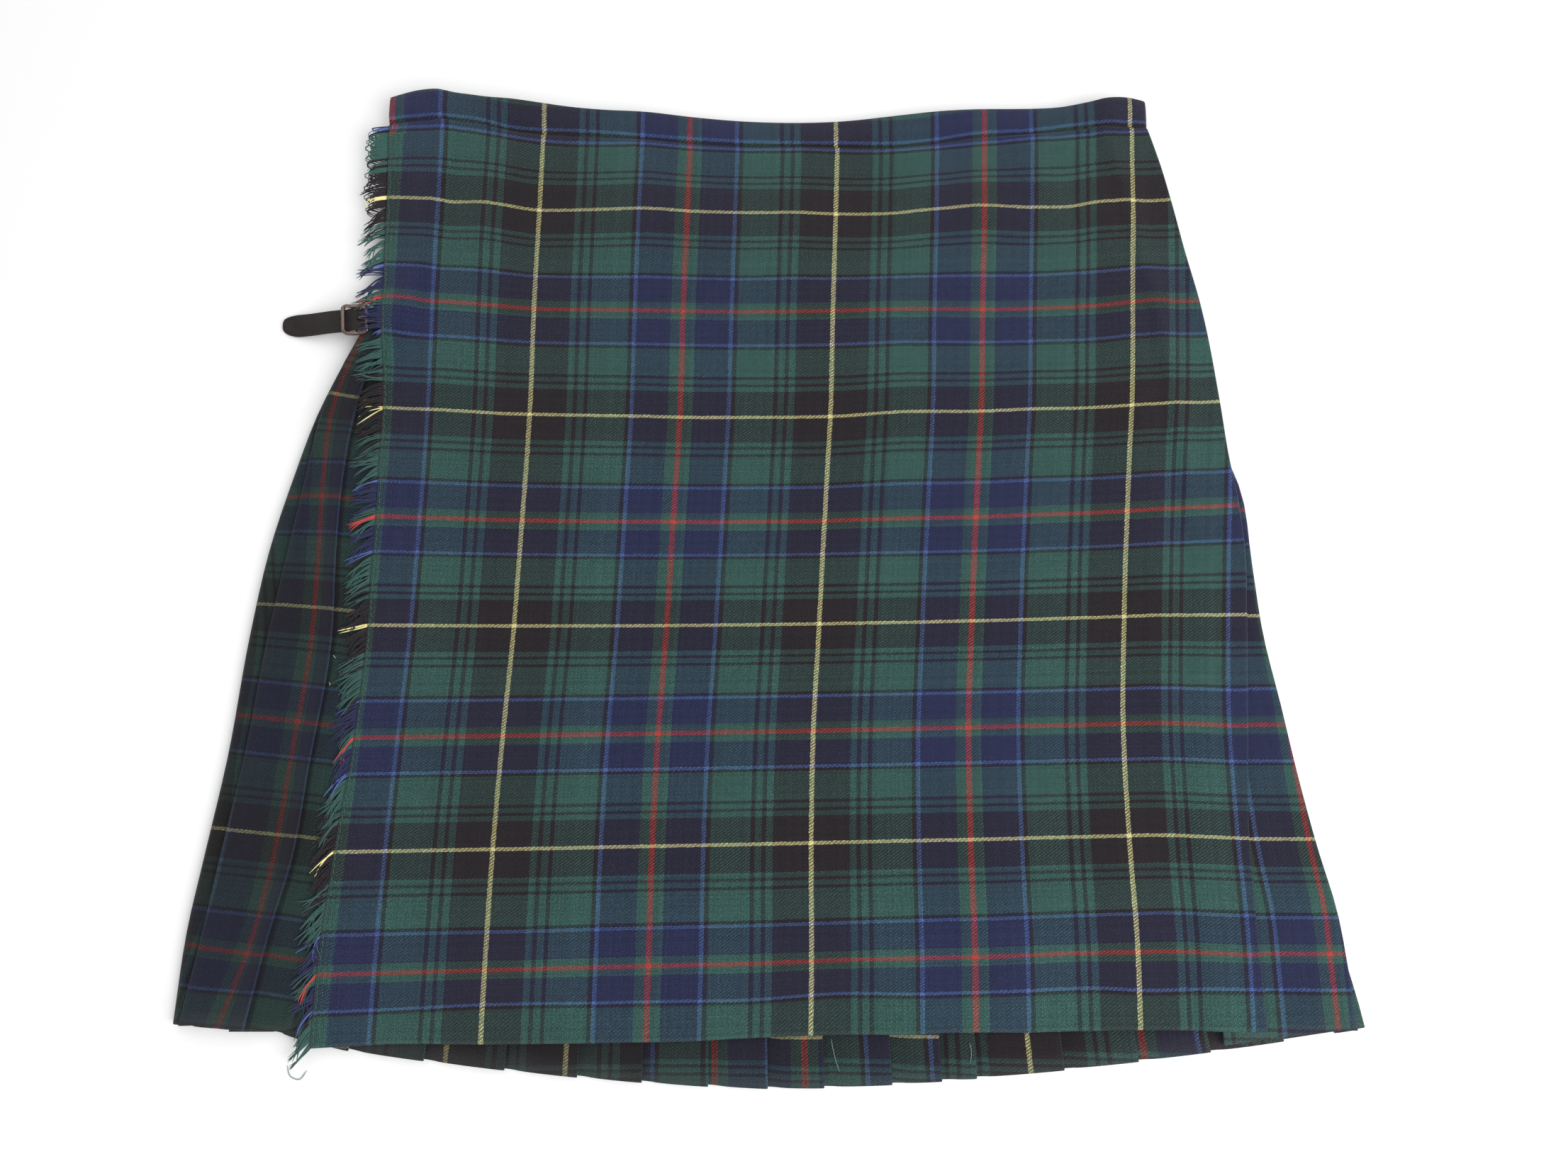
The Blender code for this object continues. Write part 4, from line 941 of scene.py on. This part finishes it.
def fringe_wool(name, cloth):
    """Loose wool weft yarn of the apron's own colours: soft and matt, with fine fibres along it."""
    material, tree, shader, position = new_material(name)
    uv = add(tree, "ShaderNodeUVMap", {"uv_map": "threads"})
    counts = add(tree, "ShaderNodeSeparateXYZ", None, {0: uv})
    colour = yarn_colour(tree, counts.outputs["Y"], cloth)
    # fibres are 0.4 mm apart along the yarn; drawn as spots, because they twist round it
    fibre = add(tree, "ShaderNodeTexNoise", None,
                {"Vector": position, "Scale": 1 / (0.4 * MM), "Detail": 3.0})
    shade = add(tree, "ShaderNodeMapRange", None,
                {"Value": fibre, "From Min": 0.3, "From Max": 0.7, "To Min": 0.75, "To Max": 1.35})
    tinted = add(tree, "ShaderNodeVectorMath", {"operation": "SCALE"}, {0: colour, "Scale": shade})
    bump = add(tree, "ShaderNodeBump", None, {"Height": fibre, "Distance": 0.08 * MM, "Strength": 0.6})
    feed(tree, shader, {"Base Color": tinted, "Normal": bump, "Roughness": 0.9, "Specular IOR Level": 0.25,
                        "Sheen Weight": 0.2, "Sheen Roughness": 0.5})
    return material


def strap_leather(name, strap):
    """Vegetable-tanned cowhide dyed dark brown and waxed: a fine pebbled grain, a low shine on the crowns of
    the grain and dull, lighter scuffs where it has bent."""
    material, tree, shader, position = new_material(name)
    # real grain is about 0.4 mm; it is drawn at 0.7 mm so that it shows
    grain = add(tree, "ShaderNodeTexVoronoi", {"feature": "DISTANCE_TO_EDGE"},
                {"Vector": position, "Scale": 1 / (0.7 * MM)})
    crowns = add(tree, "ShaderNodeMapRange", None, {"Value": grain.outputs["Distance"], "From Max": 0.22})
    wear = add(tree, "ShaderNodeTexNoise", None,
               {"Vector": position, "Scale": 1 / (6.0 * MM), "Detail": 6.0, "Roughness": 0.65})
    worn = add(tree, "ShaderNodeMapRange", None, {"Value": wear, "From Min": 0.48, "From Max": 0.68})
    tint = add(tree, "ShaderNodeMix", {"data_type": "RGBA"},
               {"Factor": worn, 6: (*strap.leather, 1.0), 7: (*strap.scuff, 1.0)})
    gloss = add(tree, "ShaderNodeMapRange", None, {"Value": worn, "To Min": 0.46, "To Max": 0.66})
    bump = add(tree, "ShaderNodeBump", None, {"Height": crowns, "Distance": 0.12 * MM, "Strength": 0.7})
    feed(tree, shader, {"Base Color": tint.outputs[2], "Normal": bump, "Roughness": gloss,
                        "Specular IOR Level": 0.32})
    return material


def plated_nickel(name, strap):
    """Cast brass plated with nickel and polished. Its colour is tinted pinkish brown as painted reflection of
    the brown leather strap, browner in patches, and fine scratches from use blur the highlight."""
    material, tree, shader, position = new_material(name)
    scratch = add(tree, "ShaderNodeTexNoise", None,
                  {"Vector": position, "Scale": 1 / (1.5 * MM), "Detail": 5.0})
    # painted reflection: the nickel's colour mixed in patches with a browner tint of the leather
    tint = add(tree, "ShaderNodeMix", {"data_type": "RGBA"},
               {"Factor": scratch, 6: (*strap.metal, 1.0), 7: (*strap.leather_reflection_tint, 1.0)})
    gloss = add(tree, "ShaderNodeMapRange", None,
                {"Value": scratch, "From Min": 0.3, "From Max": 0.7, "To Min": 0.16, "To Max": 0.34})
    feed(tree, shader, {"Base Color": tint.outputs[2], "Roughness": gloss, "Metallic": 1.0})
    return material


def spun_thread(name, colour):
    """Spun sewing thread or a loose fibre: matt, with the twist of its plies seen as fine bands."""
    material, tree, shader, position = new_material(name)
    plies = add(tree, "ShaderNodeTexNoise", None,
                {"Vector": position, "Scale": 1 / (0.35 * MM), "Detail": 2.0})
    shade = add(tree, "ShaderNodeMapRange", None,
                {"Value": plies, "From Min": 0.3, "From Max": 0.7, "To Min": 0.7, "To Max": 1.3})
    base = add(tree, "ShaderNodeVectorMath", {"operation": "SCALE"}, {0: tuple(colour), "Scale": shade})
    feed(tree, shader, {"Base Color": base, "Roughness": 0.85})
    return material


def floor_paper(name, colour):
    """Matt white backdrop paper, with a grain so faint that it only keeps the floor from looking flat."""
    material, tree, shader, _ = new_material(name)
    grain = add(tree, "ShaderNodeTexNoise", None, {"Scale": 40.0, "Detail": 3.0})
    tone = add(tree, "ShaderNodeMapRange", None, {"Value": grain, "To Min": 0.99, "To Max": 1.01})
    base = add(tree, "ShaderNodeVectorMath", {"operation": "SCALE"}, {0: tuple(colour), "Scale": tone})
    feed(tree, shader, {"Base Color": base, "Roughness": 0.8})
    return material


def shared(name, maker, *settings):
    """The material of that name, made the first time it is asked for."""
    return bpy.data.materials.get(name) or maker(name, *settings)


def front_cloth(cloth):
    return shared("wool_tartan_twill", tartan_twill, cloth, 1.0)


def back_cloth_painted_shade(cloth):
    """The back and the under apron get painted shade that darkens them the further left they lie."""
    return shared("wool_tartan_twill_back", tartan_twill, cloth, cloth.left_painted_shade_tone)


# Sizes and colours that a user may change

def colour(name, description, hex_colour):
    return FloatVectorProperty(name=name, description=description, subtype="COLOR",
                               default=linear(hex_colour))


class KiltCloth(bpy.types.PropertyGroup):
    """The tartan cloth."""
    thickness: FloatProperty(name="Cloth", description="Thickness of one layer of cloth in millimetres",
                             default=1.1, min=0.4, max=1.4)
    stray: FloatProperty(name="Stray fibres", description="How far threads stray, in threads", default=1.9,
                         min=0.0, max=3.0)
    warp_float: FloatProperty(name="Warp on top", description="Threads out of four that the warp covers",
                              default=1.65, min=1.0, max=3.0)
    # how far the threads' colours mingle, and how strong the painted shade is at crossings of a dark and a
    # light thread
    milling_and_crossing_shade: FloatProperty(name="Milling", description="Share of a darker thread that shows through",
                           default=0.3, min=0.0, max=1.0, subtype="FACTOR")
    # painted shade: the share of the back's colour left at its left side, where it is darkened as if in shade
    left_painted_shade_tone: FloatProperty(name="Left side of the back", default=0.39, min=0.1, max=1.0, subtype="FACTOR",
                             description="Share of the back's colour at its left side")
    black: colour("Black", "Black yarn", "#231C22")
    navy: colour("Navy", "Navy yarn", "#252B51")
    green: colour("Green", "Green yarn", "#375D57")
    blue: colour("Light blue", "Light blue yarn", "#516CAB")
    yellow: colour("Yellow", "Yellow yarn", "#F7EDA7")
    red: colour("Red", "Red yarn", "#BF4540")
    stitch: colour("Stitches", "Sewing thread", "#3F6B5C")
    lint: colour("Loose threads", "Loose threads and fluff", "#7F978B")


class KiltFringe(bpy.types.PropertyGroup):
    """The fringe of the over apron."""
    yarns: IntProperty(name="Yarns", description="Number of yarns in the fringe", default=900, min=50)
    length: FloatProperty(name="Length", description="Length of the yarns in millimetres", default=19.0,
                          min=4.0, max=30.0)
    radius: FloatProperty(name="Yarn radius", description="Radius of a yarn in millimetres", default=0.42,
                          min=0.1, max=0.6)
    seed: IntProperty(name="Seed", description="Seed of the yarns' directions", default=11)


class KiltStrap(bpy.types.PropertyGroup):
    """The strap and its buckle."""
    leather: colour("Leather", "Dyed leather", "#181210")
    scuff: colour("Scuffs", "Worn leather", "#2A211E")
    # nickel tinted pinkish grey, and a browner tint: both painted reflection of the brown leather strap
    metal: colour("Nickel", "Nickel plate", "#857873")
    leather_reflection_tint: colour("Thin plate", "Plate where brass shows through", "#644E47")


class KiltStage(bpy.types.PropertyGroup):
    """The floor, lights and camera."""
    floor: colour("Floor", "Pale floor", "#FCFCFC")
    key: FloatProperty(name="Key light", description="Power of the large lamp", default=18.3, min=0.0,
                       subtype="POWER")
    sky: FloatProperty(name="Sky", description="Strength of the light from all round", default=0.66, min=0.0)
    tilt: FloatProperty(name="Camera tilt", description="Camera's angle from straight down",
                        default=math.radians(9.0), subtype="ANGLE")


# Operators, one for each piece or group of like pieces

def finish_piece(item, slot, *nodes):
    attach(item, "root")
    if nodes:
        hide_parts(*nodes)


class KILT_OT_over_apron(bpy.types.Operator):
    """Makes the front panel that shows"""
    bl_idname = "kilt.over_apron"
    bl_label = "Over apron"

    def execute(self, context):
        cloth = context.scene.kilt_cloth
        item = cloth_object("apron_cloth", over_apron_surface(), cloth.thickness, front_cloth(cloth))
        finish_piece(item, "tartan_front", "over_apron")
        return {"FINISHED"}


class KILT_OT_under_apron(bpy.types.Operator):
    """Makes the inner front panel"""
    bl_idname = "kilt.under_apron"
    bl_label = "Under apron"

    def execute(self, context):
        cloth = context.scene.kilt_cloth
        item = cloth_object("under_apron_cloth", under_apron_surface(), cloth.thickness, back_cloth_painted_shade(cloth))
        finish_piece(item, "tartan_inner", "under_apron")
        return {"FINISHED"}


class KILT_OT_pleated_back(bpy.types.Operator):
    """Makes the knife pleats of the back, the box pleat and the side pleats"""
    bl_idname = "kilt.pleated_back"
    bl_label = "Pleated back"

    def execute(self, context):
        cloth = context.scene.kilt_cloth
        item = cloth_object("pleated_back_cloth", pleated_back_surface(), cloth.thickness, back_cloth_painted_shade(cloth))
        finish_piece(item, "tartan_back", "pleated_back")
        return {"FINISHED"}


class KILT_OT_waistband(bpy.types.Operator):
    """Makes the narrow band round the waist"""
    bl_idname = "kilt.waistband"
    bl_label = "Waistband"

    def execute(self, context):
        cloth = context.scene.kilt_cloth
        item = cloth_object("waistband_cloth", waistband_surface(), BAND_CLOTH, front_cloth(cloth))
        finish_piece(item, "tartan_band", "waistband")
        return {"FINISHED"}


def fringe_paths(settings):
    """Lines of the fringe's yarns. The yarns stand in clumps of three to eight; each leaves the apron's
    edge to the left, leans towards the hem in one curve with its clump and draws in to the clump's middle.
    Near the waist some clumps turn back on themselves in nested loops."""
    chance = np.random.default_rng(settings.seed)
    count, stations = settings.yarns, 9
    sett = np.linspace(-0.70, APRON_ROWS["sett"][-1] - 0.004, count)
    left = from_table(APRON_ROWS, "sett", "left", sett)
    root_x, root_y, root_z = apron_laid(sett, left)
    root_z = root_z - 0.5
    bounds = np.cumsum(chance.integers(3, 9, count))
    clump = np.searchsorted(bounds, np.arange(count), side="right")
    clumps = clump[-1] + 1
    first = np.searchsorted(clump, np.arange(clumps))
    size = np.maximum(np.bincount(clump), 2)[clump]
    rank = (np.arange(count) - first[clump]) / (size - 1) * 2 - 1      # -1 at a clump's top, 1 at its foot
    middle_y = (np.bincount(clump, root_y) / np.bincount(clump))[clump]
    lean = (8.0 + 8.0 * soft_step((sett + 0.2) / 1.6) + 26.0 * soft_step((sett - 2.6) / 4.0)
            + chance.normal(0.0, 7.0, clumps)[clump] + chance.normal(0.0, 3.0, count))
    curl = chance.normal(12.0, 9.0, clumps)[clump] + chance.normal(0.0, 4.0, count)
    length = settings.length * chance.uniform(0.86, 1.08, clumps)[clump] * chance.uniform(0.9, 1.04, count)
    aside = root_y - STRAP_Y
    for low, high, shortest, longest, level in FRINGE_AT_BUCKLE:
        here = (aside > low) & (aside < high)
        length = np.where(here, chance.uniform(shortest, longest, count), length)
        lean = np.where(here, level + chance.normal(0.0, 4.0, count), lean)
        curl = np.where(here, chance.normal(4.0, 6.0, count), curl)
    t = np.linspace(0.0, 1.0, stations)[None, :]
    angle = np.radians(lean[:, None] + curl[:, None] * t)
    run = length[:, None] * t
    gather = chance.uniform(0.35, 0.85, clumps)[clump][:, None]
    x = root_x[:, None] - run * np.cos(angle)
    y = root_y[:, None] - run * np.sin(angle) + (middle_y - root_y)[:, None] * gather * soft_step(t * 1.1)
    y = y + chance.normal(0.0, 0.7, count)[:, None] * t
    looped = ((sett < LOOPS_END) & (chance.random(clumps)[clump] < LOOP_CHANCE))[:, None]
    reach = (0.78 + 0.12 * rank + chance.uniform(-0.12, 0.12, count))[:, None] * settings.length * 0.85
    turn = math.pi * t * 0.9
    drop = (3.0 + 2.6 * rank[:, None]) * (1 - np.cos(turn)) / 2
    x = np.where(looped, root_x[:, None] - reach * np.sin(turn), x)
    y = np.where(looped, root_y[:, None] - drop - 2.0 * t, y)
    stack = chance.uniform(0.0, 1.9, count)[:, None] * soft_step(t * 3.0)
    rest = ground_top(x, y) + settings.radius + stack
    lowest = np.maximum.accumulate(rest[:, ::-1], axis=1)[:, ::-1]
    hang = root_z[:, None] - 3.0 * t ** 2
    z = np.where(t == 0.0, root_z[:, None], np.maximum(hang, np.minimum(lowest, rest + 2.0)))
    threads = np.broadcast_to((sett * HALF_REPEAT)[:, None, None], (count, stations, 2))
    taper = np.interp(t[0], (0.0, 0.7, 1.0), (1.0, 0.9, 0.3))
    radii = settings.radius * chance.uniform(0.75, 1.25, count)[:, None] * taper[None, :]
    return np.stack([x, y, z], axis=-1), radii, threads


class KILT_OT_fringe(bpy.types.Operator):
    """Makes the fringe of loose weft yarns at the over apron's free edge"""
    bl_idname = "kilt.fringe"
    bl_label = "Fringe"

    def execute(self, context):
        scene = context.scene
        paths, radii, threads = fringe_paths(scene.kilt_fringe)
        item = tube_object("fringe_yarns", paths, radii, 4,
                           shared("wool_fringe_yarn", fringe_wool, scene.kilt_cloth), threads)
        finish_piece(item, "wool_fringe", "apron_fringe")
        return {"FINISHED"}


def strap_surface():
    """The strap: at each of many stations a rounded flat oval, its half width from the tip's rounding,
    carried along the strap's line, which bends towards the waist beyond the buckle; two round holes are
    pressed into its upper side."""
    run = np.linspace(STRAP_PATH["x"][0], STRAP_END, 150)
    z = curve_through(STRAP_PATH["x"], STRAP_PATH["z"], run)
    to_tip = np.clip((run - STRAP_END) / STRAP_TIP, 0.0, 1.0)
    bend = STRAP_BEND * (np.clip(STRAP_BEND_FROM - run, 0.0, None) / (STRAP_BEND_FROM - STRAP_END)) ** 1.3
    half = STRAP_WIDTH / 2 * (0.3 + 0.7 * np.sqrt(1 - (1 - to_tip) ** 2))
    angle = np.linspace(0.0, 2 * math.pi, 72, endpoint=False)
    wide = np.sign(np.cos(angle)) * np.abs(np.cos(angle)) ** 0.75
    thick = np.sign(np.sin(angle)) * np.abs(np.sin(angle)) ** 0.28
    x = np.broadcast_to(run[:, None], (run.size, angle.size))
    across = half[:, None] * wide
    y = strap_middle(x) + bend[:, None] + across
    height = z[:, None] + STRAP_THICKNESS / 2 * thick
    for along, aside in STRAP_HOLES:
        place = buckle_place(np.array(along), np.array(aside), np.array(0.0))
        distance = np.hypot(x - place[0], y - place[1])
        height = height - 1.2 * (1 - soft_step((distance - 0.55) / 0.5)) * (thick > 0)
    return np.stack([x, y, height], axis=-1)


def buckle_frame_surface():
    """The buckle's frame: a rounded bar carried round a rounded rectangle bowed down in the middle. The bar's
    section is a squared oval."""
    corner = BUCKLE_CORNER
    turn = np.linspace(0.0, math.pi / 2, 13)
    along, across, out_x, out_y = [], [], [], []
    for quarter in range(4):
        angle = math.pi / 2 * quarter + turn
        sign_x = 1 if quarter in (0, 3) else -1
        sign_y = 1 if quarter in (0, 1) else -1
        along.append((BUCKLE_LENGTH / 2 - corner) * sign_x + corner * np.cos(angle))
        across.append((BUCKLE_WIDTH / 2 - corner) * sign_y + corner * np.sin(angle))
        out_x.append(np.cos(angle))
        out_y.append(np.sin(angle))
        if quarter % 2 == 0:
            bar = np.linspace(0.0, 1.0, 11)[1:-1]
            along.append(sign_x * (BUCKLE_LENGTH / 2 - corner) * (1 - 2 * bar))
            across.append(np.full(9, across[-1][-1]))
            out_x.append(np.zeros(9))
            out_y.append(np.full(9, out_y[-1][-1]))
    along, across, out_x, out_y = (np.concatenate(part)[:, None] for part in (along, across, out_x, out_y))
    angle = np.linspace(0.0, 2 * math.pi, 20, endpoint=False)[None, :]
    width, thickness = BUCKLE_BAR
    reach = np.sign(np.cos(angle)) * np.abs(np.cos(angle)) ** 0.8 * width / 2
    rise = np.sign(np.sin(angle)) * np.abs(np.sin(angle)) ** 0.8 * thickness / 2
    return buckle_place(along + out_x * reach, across + out_y * reach, buckle_height(along) + rise)


def pin_path(level):
    """The pin: a straight line across the strap, between the two side bars of the frame."""
    reach = BUCKLE_WIDTH / 2 - BUCKLE_BAR[0] / 2 - SEAM_GAP
    return buckle_place(np.zeros(5), np.linspace(-reach, reach, 5), np.full(5, level))[None]


def prong_path(level):
    """The prong: a smooth curve that rises from the pin, runs over the end bar and dips at its tip. Its
    radius lessens to the tip."""
    bar_top = BUCKLE_Z + BUCKLE_BAR[1] / 2 + SEAM_GAP + PRONG_RADIUS
    pin_top = level + PIN_RADIUS
    heights = np.array([pin_top + 0.3, pin_top + 2.0, bar_top - 0.6, bar_top, bar_top, bar_top - 0.1])
    bends = np.arange(float(len(PRONG_ALONG)))
    t = np.linspace(bends[0], bends[-1], 31)
    along = curve_through(bends, PRONG_ALONG, t)
    rod = buckle_place(along, np.zeros(31), curve_through(bends, heights, t))
    return rod[None], PRONG_RADIUS * np.interp(t, (0.0, 4.0, 5.0), (1.0, 0.95, 0.45))[None]


class KILT_OT_strap_and_buckle(bpy.types.Operator):
    """Makes the leather strap, and the buckle's frame, pin and prong"""
    bl_idname = "kilt.strap_and_buckle"
    bl_label = "Strap and buckle"

    def execute(self, context):
        settings = context.scene.kilt_strap
        leather = shared("waxed_strap_leather", strap_leather, settings)
        nickel = shared("plated_nickel", plated_nickel, settings)
        strap = loft_object("strap_leather", strap_surface()[None], leather)
        finish_piece(strap, "strap_leather", "strap")
        frame_piece = ring_object("buckle_frame_metal", buckle_frame_surface(), nickel)
        finish_piece(frame_piece, "buckle_metal", "buckle_frame")
        level = buckle_height(0.0) - PIN_DROP
        pin = tube_object("buckle_pin_metal", pin_path(level), np.full((1, 5), PIN_RADIUS), 16, nickel)
        finish_piece(pin, "buckle_metal", "buckle_pin")
        prong = tube_object("buckle_prong_metal", *prong_path(level), 12, nickel)
        finish_piece(prong, "buckle_metal", "buckle_prong")
        return {"FINISHED"}


def stitch_paths():
    """Stitches down the over apron's free edge: each is an arc of five points that rises out of the cloth
    and goes back in, three millimetres long every four, a little slanted."""
    chance = np.random.default_rng(5)
    sett = np.arange(-0.64, 7.58, STITCH_PITCH / HALF_DOWN)
    share = np.linspace(0.0, 1.0, 5)[None, :]
    along = sett[:, None] + share * 0.75 * STITCH_PITCH / HALF_DOWN
    x, y, z = apron_laid(along, from_table(APRON_ROWS, "sett", "left", along))
    wander = chance.normal(0.0, 0.2, sett.size)[:, None]
    slant = chance.normal(0.5, 0.25, sett.size)[:, None] * (share - 0.5)
    top = z + 0.42 + 0.35 * np.sin(math.pi * share)
    return np.stack([x + STITCH_INSET + wander + slant, y, top], axis=-1)


def loose_thread_paths():
    """Loose threads and fluff that lie on the cloth: each is a smooth curve through three or four places,
    thinner towards its ends."""
    lines, radii = [], []
    share = np.linspace(0.0, 1.0, 14)
    for radius, knots in LOOSE_THREADS:
        knots = np.array(knots)
        count = np.arange(float(len(knots)))
        at = share * (len(knots) - 1.0)
        lines.append(np.stack([curve_through(count, knots[:, axis], at) for axis in range(3)], axis=-1))
        radii.append(radius * np.interp(share, (0.0, 0.15, 0.85, 1.0), (0.4, 1.0, 1.0, 0.4)))
    return np.array(lines), np.array(radii)


class KILT_OT_stitches(bpy.types.Operator):
    """Makes the stitches along the apron's free edge and the loose threads that lie on the kilt"""
    bl_idname = "kilt.stitches"
    bl_label = "Stitches and loose threads"

    def execute(self, context):
        cloth = context.scene.kilt_cloth
        green = shared("green_sewing_thread", spun_thread, cloth.stitch)
        pale = shared("pale_loose_thread", spun_thread, cloth.lint)
        paths = stitch_paths()
        radii = np.full(paths.shape[:2], STITCH_RADIUS)
        finish_piece(tube_object("edge_stitches", paths, radii, 4, green), "wool_fringe")
        finish_piece(tube_object("loose_threads", *loose_thread_paths(), 5, pale), "wool_fringe")
        return {"FINISHED"}


class KILT_OT_stage(bpy.types.Operator):
    """Makes the floor, the lights and the camera"""
    bl_idname = "kilt.stage"
    bl_label = "Stage"

    def execute(self, context):
        stage = context.scene.kilt_stage
        mesh = bpy.data.meshes.new("pale_floor")
        corners = [(x * FLOOR_REACH, y * FLOOR_REACH, FLOOR_Z)
                   for x, y in ((-1, -1), (1, -1), (1, 1), (-1, 1))]
        mesh.from_pydata(corners, [], [(0, 1, 2, 3)])
        mesh.materials.append(floor_paper("pale_paper_floor", stage.floor))
        floor = bpy.data.objects.new("pale_floor", mesh)
        context.scene.collection.objects.link(floor)

        world = bpy.data.worlds.new("studio")
        world.use_nodes = True
        sky = world.node_tree.nodes["Background"]
        sky.inputs["Color"].default_value = (1.0, 1.0, 1.0, 1.0)
        sky.inputs["Strength"].default_value = stage.sky
        context.scene.world = world
        for name, place, share in LAMPS:
            light = bpy.data.lights.new(name, "AREA")
            light.size = LAMP_SIZE
            light.energy = stage.key * share
            item = bpy.data.objects.new(name, light)
            item.location = place
            away = -np.array(place) / np.linalg.norm(place)
            item.rotation_euler = (math.acos(-away[2]), 0.0, math.atan2(-away[0], away[1]))
            context.scene.collection.objects.link(item)
        camera = bpy.data.cameras.new("photograph")
        camera.lens = CAMERA_LENS
        camera.sensor_width = 36.0
        camera.clip_start = 0.01
        item = bpy.data.objects.new("photograph", camera)
        item.location = placed(CAMERA_PLACE)
        item.rotation_euler = (stage.tilt, 0.0, 0.0)
        context.scene.collection.objects.link(item)
        context.scene.camera = item
        context.scene.view_settings.view_transform = "Standard"
        return {"FINISHED"}


class KILT_PT_sidebar(bpy.types.Panel):
    """Lists the kilt's sizes, colours and operators"""
    bl_idname = "KILT_PT_sidebar"
    bl_label = "Kilt"
    bl_space_type = "VIEW_3D"
    bl_region_type = "UI"
    bl_category = "Kilt"

    def draw(self, context):
        layout = self.layout
        for group in ("kilt_cloth", "kilt_fringe", "kilt_strap", "kilt_stage"):
            settings = getattr(context.scene, group)
            box = layout.box()
            for name in settings.bl_rna.properties.keys():
                if name not in ("rna_type", "name"):
                    box.prop(settings, name)
        for operator in OPERATORS:
            layout.operator(operator.bl_idname)


GROUPS = {"kilt_cloth": KiltCloth, "kilt_fringe": KiltFringe, "kilt_strap": KiltStrap,
          "kilt_stage": KiltStage}
OPERATORS = (KILT_OT_stage, KILT_OT_over_apron, KILT_OT_under_apron, KILT_OT_pleated_back,
             KILT_OT_waistband, KILT_OT_fringe, KILT_OT_strap_and_buckle, KILT_OT_stitches)


def register():
    for item in (*GROUPS.values(), *OPERATORS, KILT_PT_sidebar):
        bpy.utils.register_class(item)
    for name, group in GROUPS.items():
        setattr(bpy.types.Scene, name, PointerProperty(type=group))


def unregister():
    for name in GROUPS:
        delattr(bpy.types.Scene, name)
    for item in reversed((*GROUPS.values(), *OPERATORS, KILT_PT_sidebar)):
        bpy.utils.unregister_class(item)


def main():
    register()
    for operator in OPERATORS:
        group, name = operator.bl_idname.split(".")
        getattr(getattr(bpy.ops, group), name)()


if __name__ == "__main__":
    main()
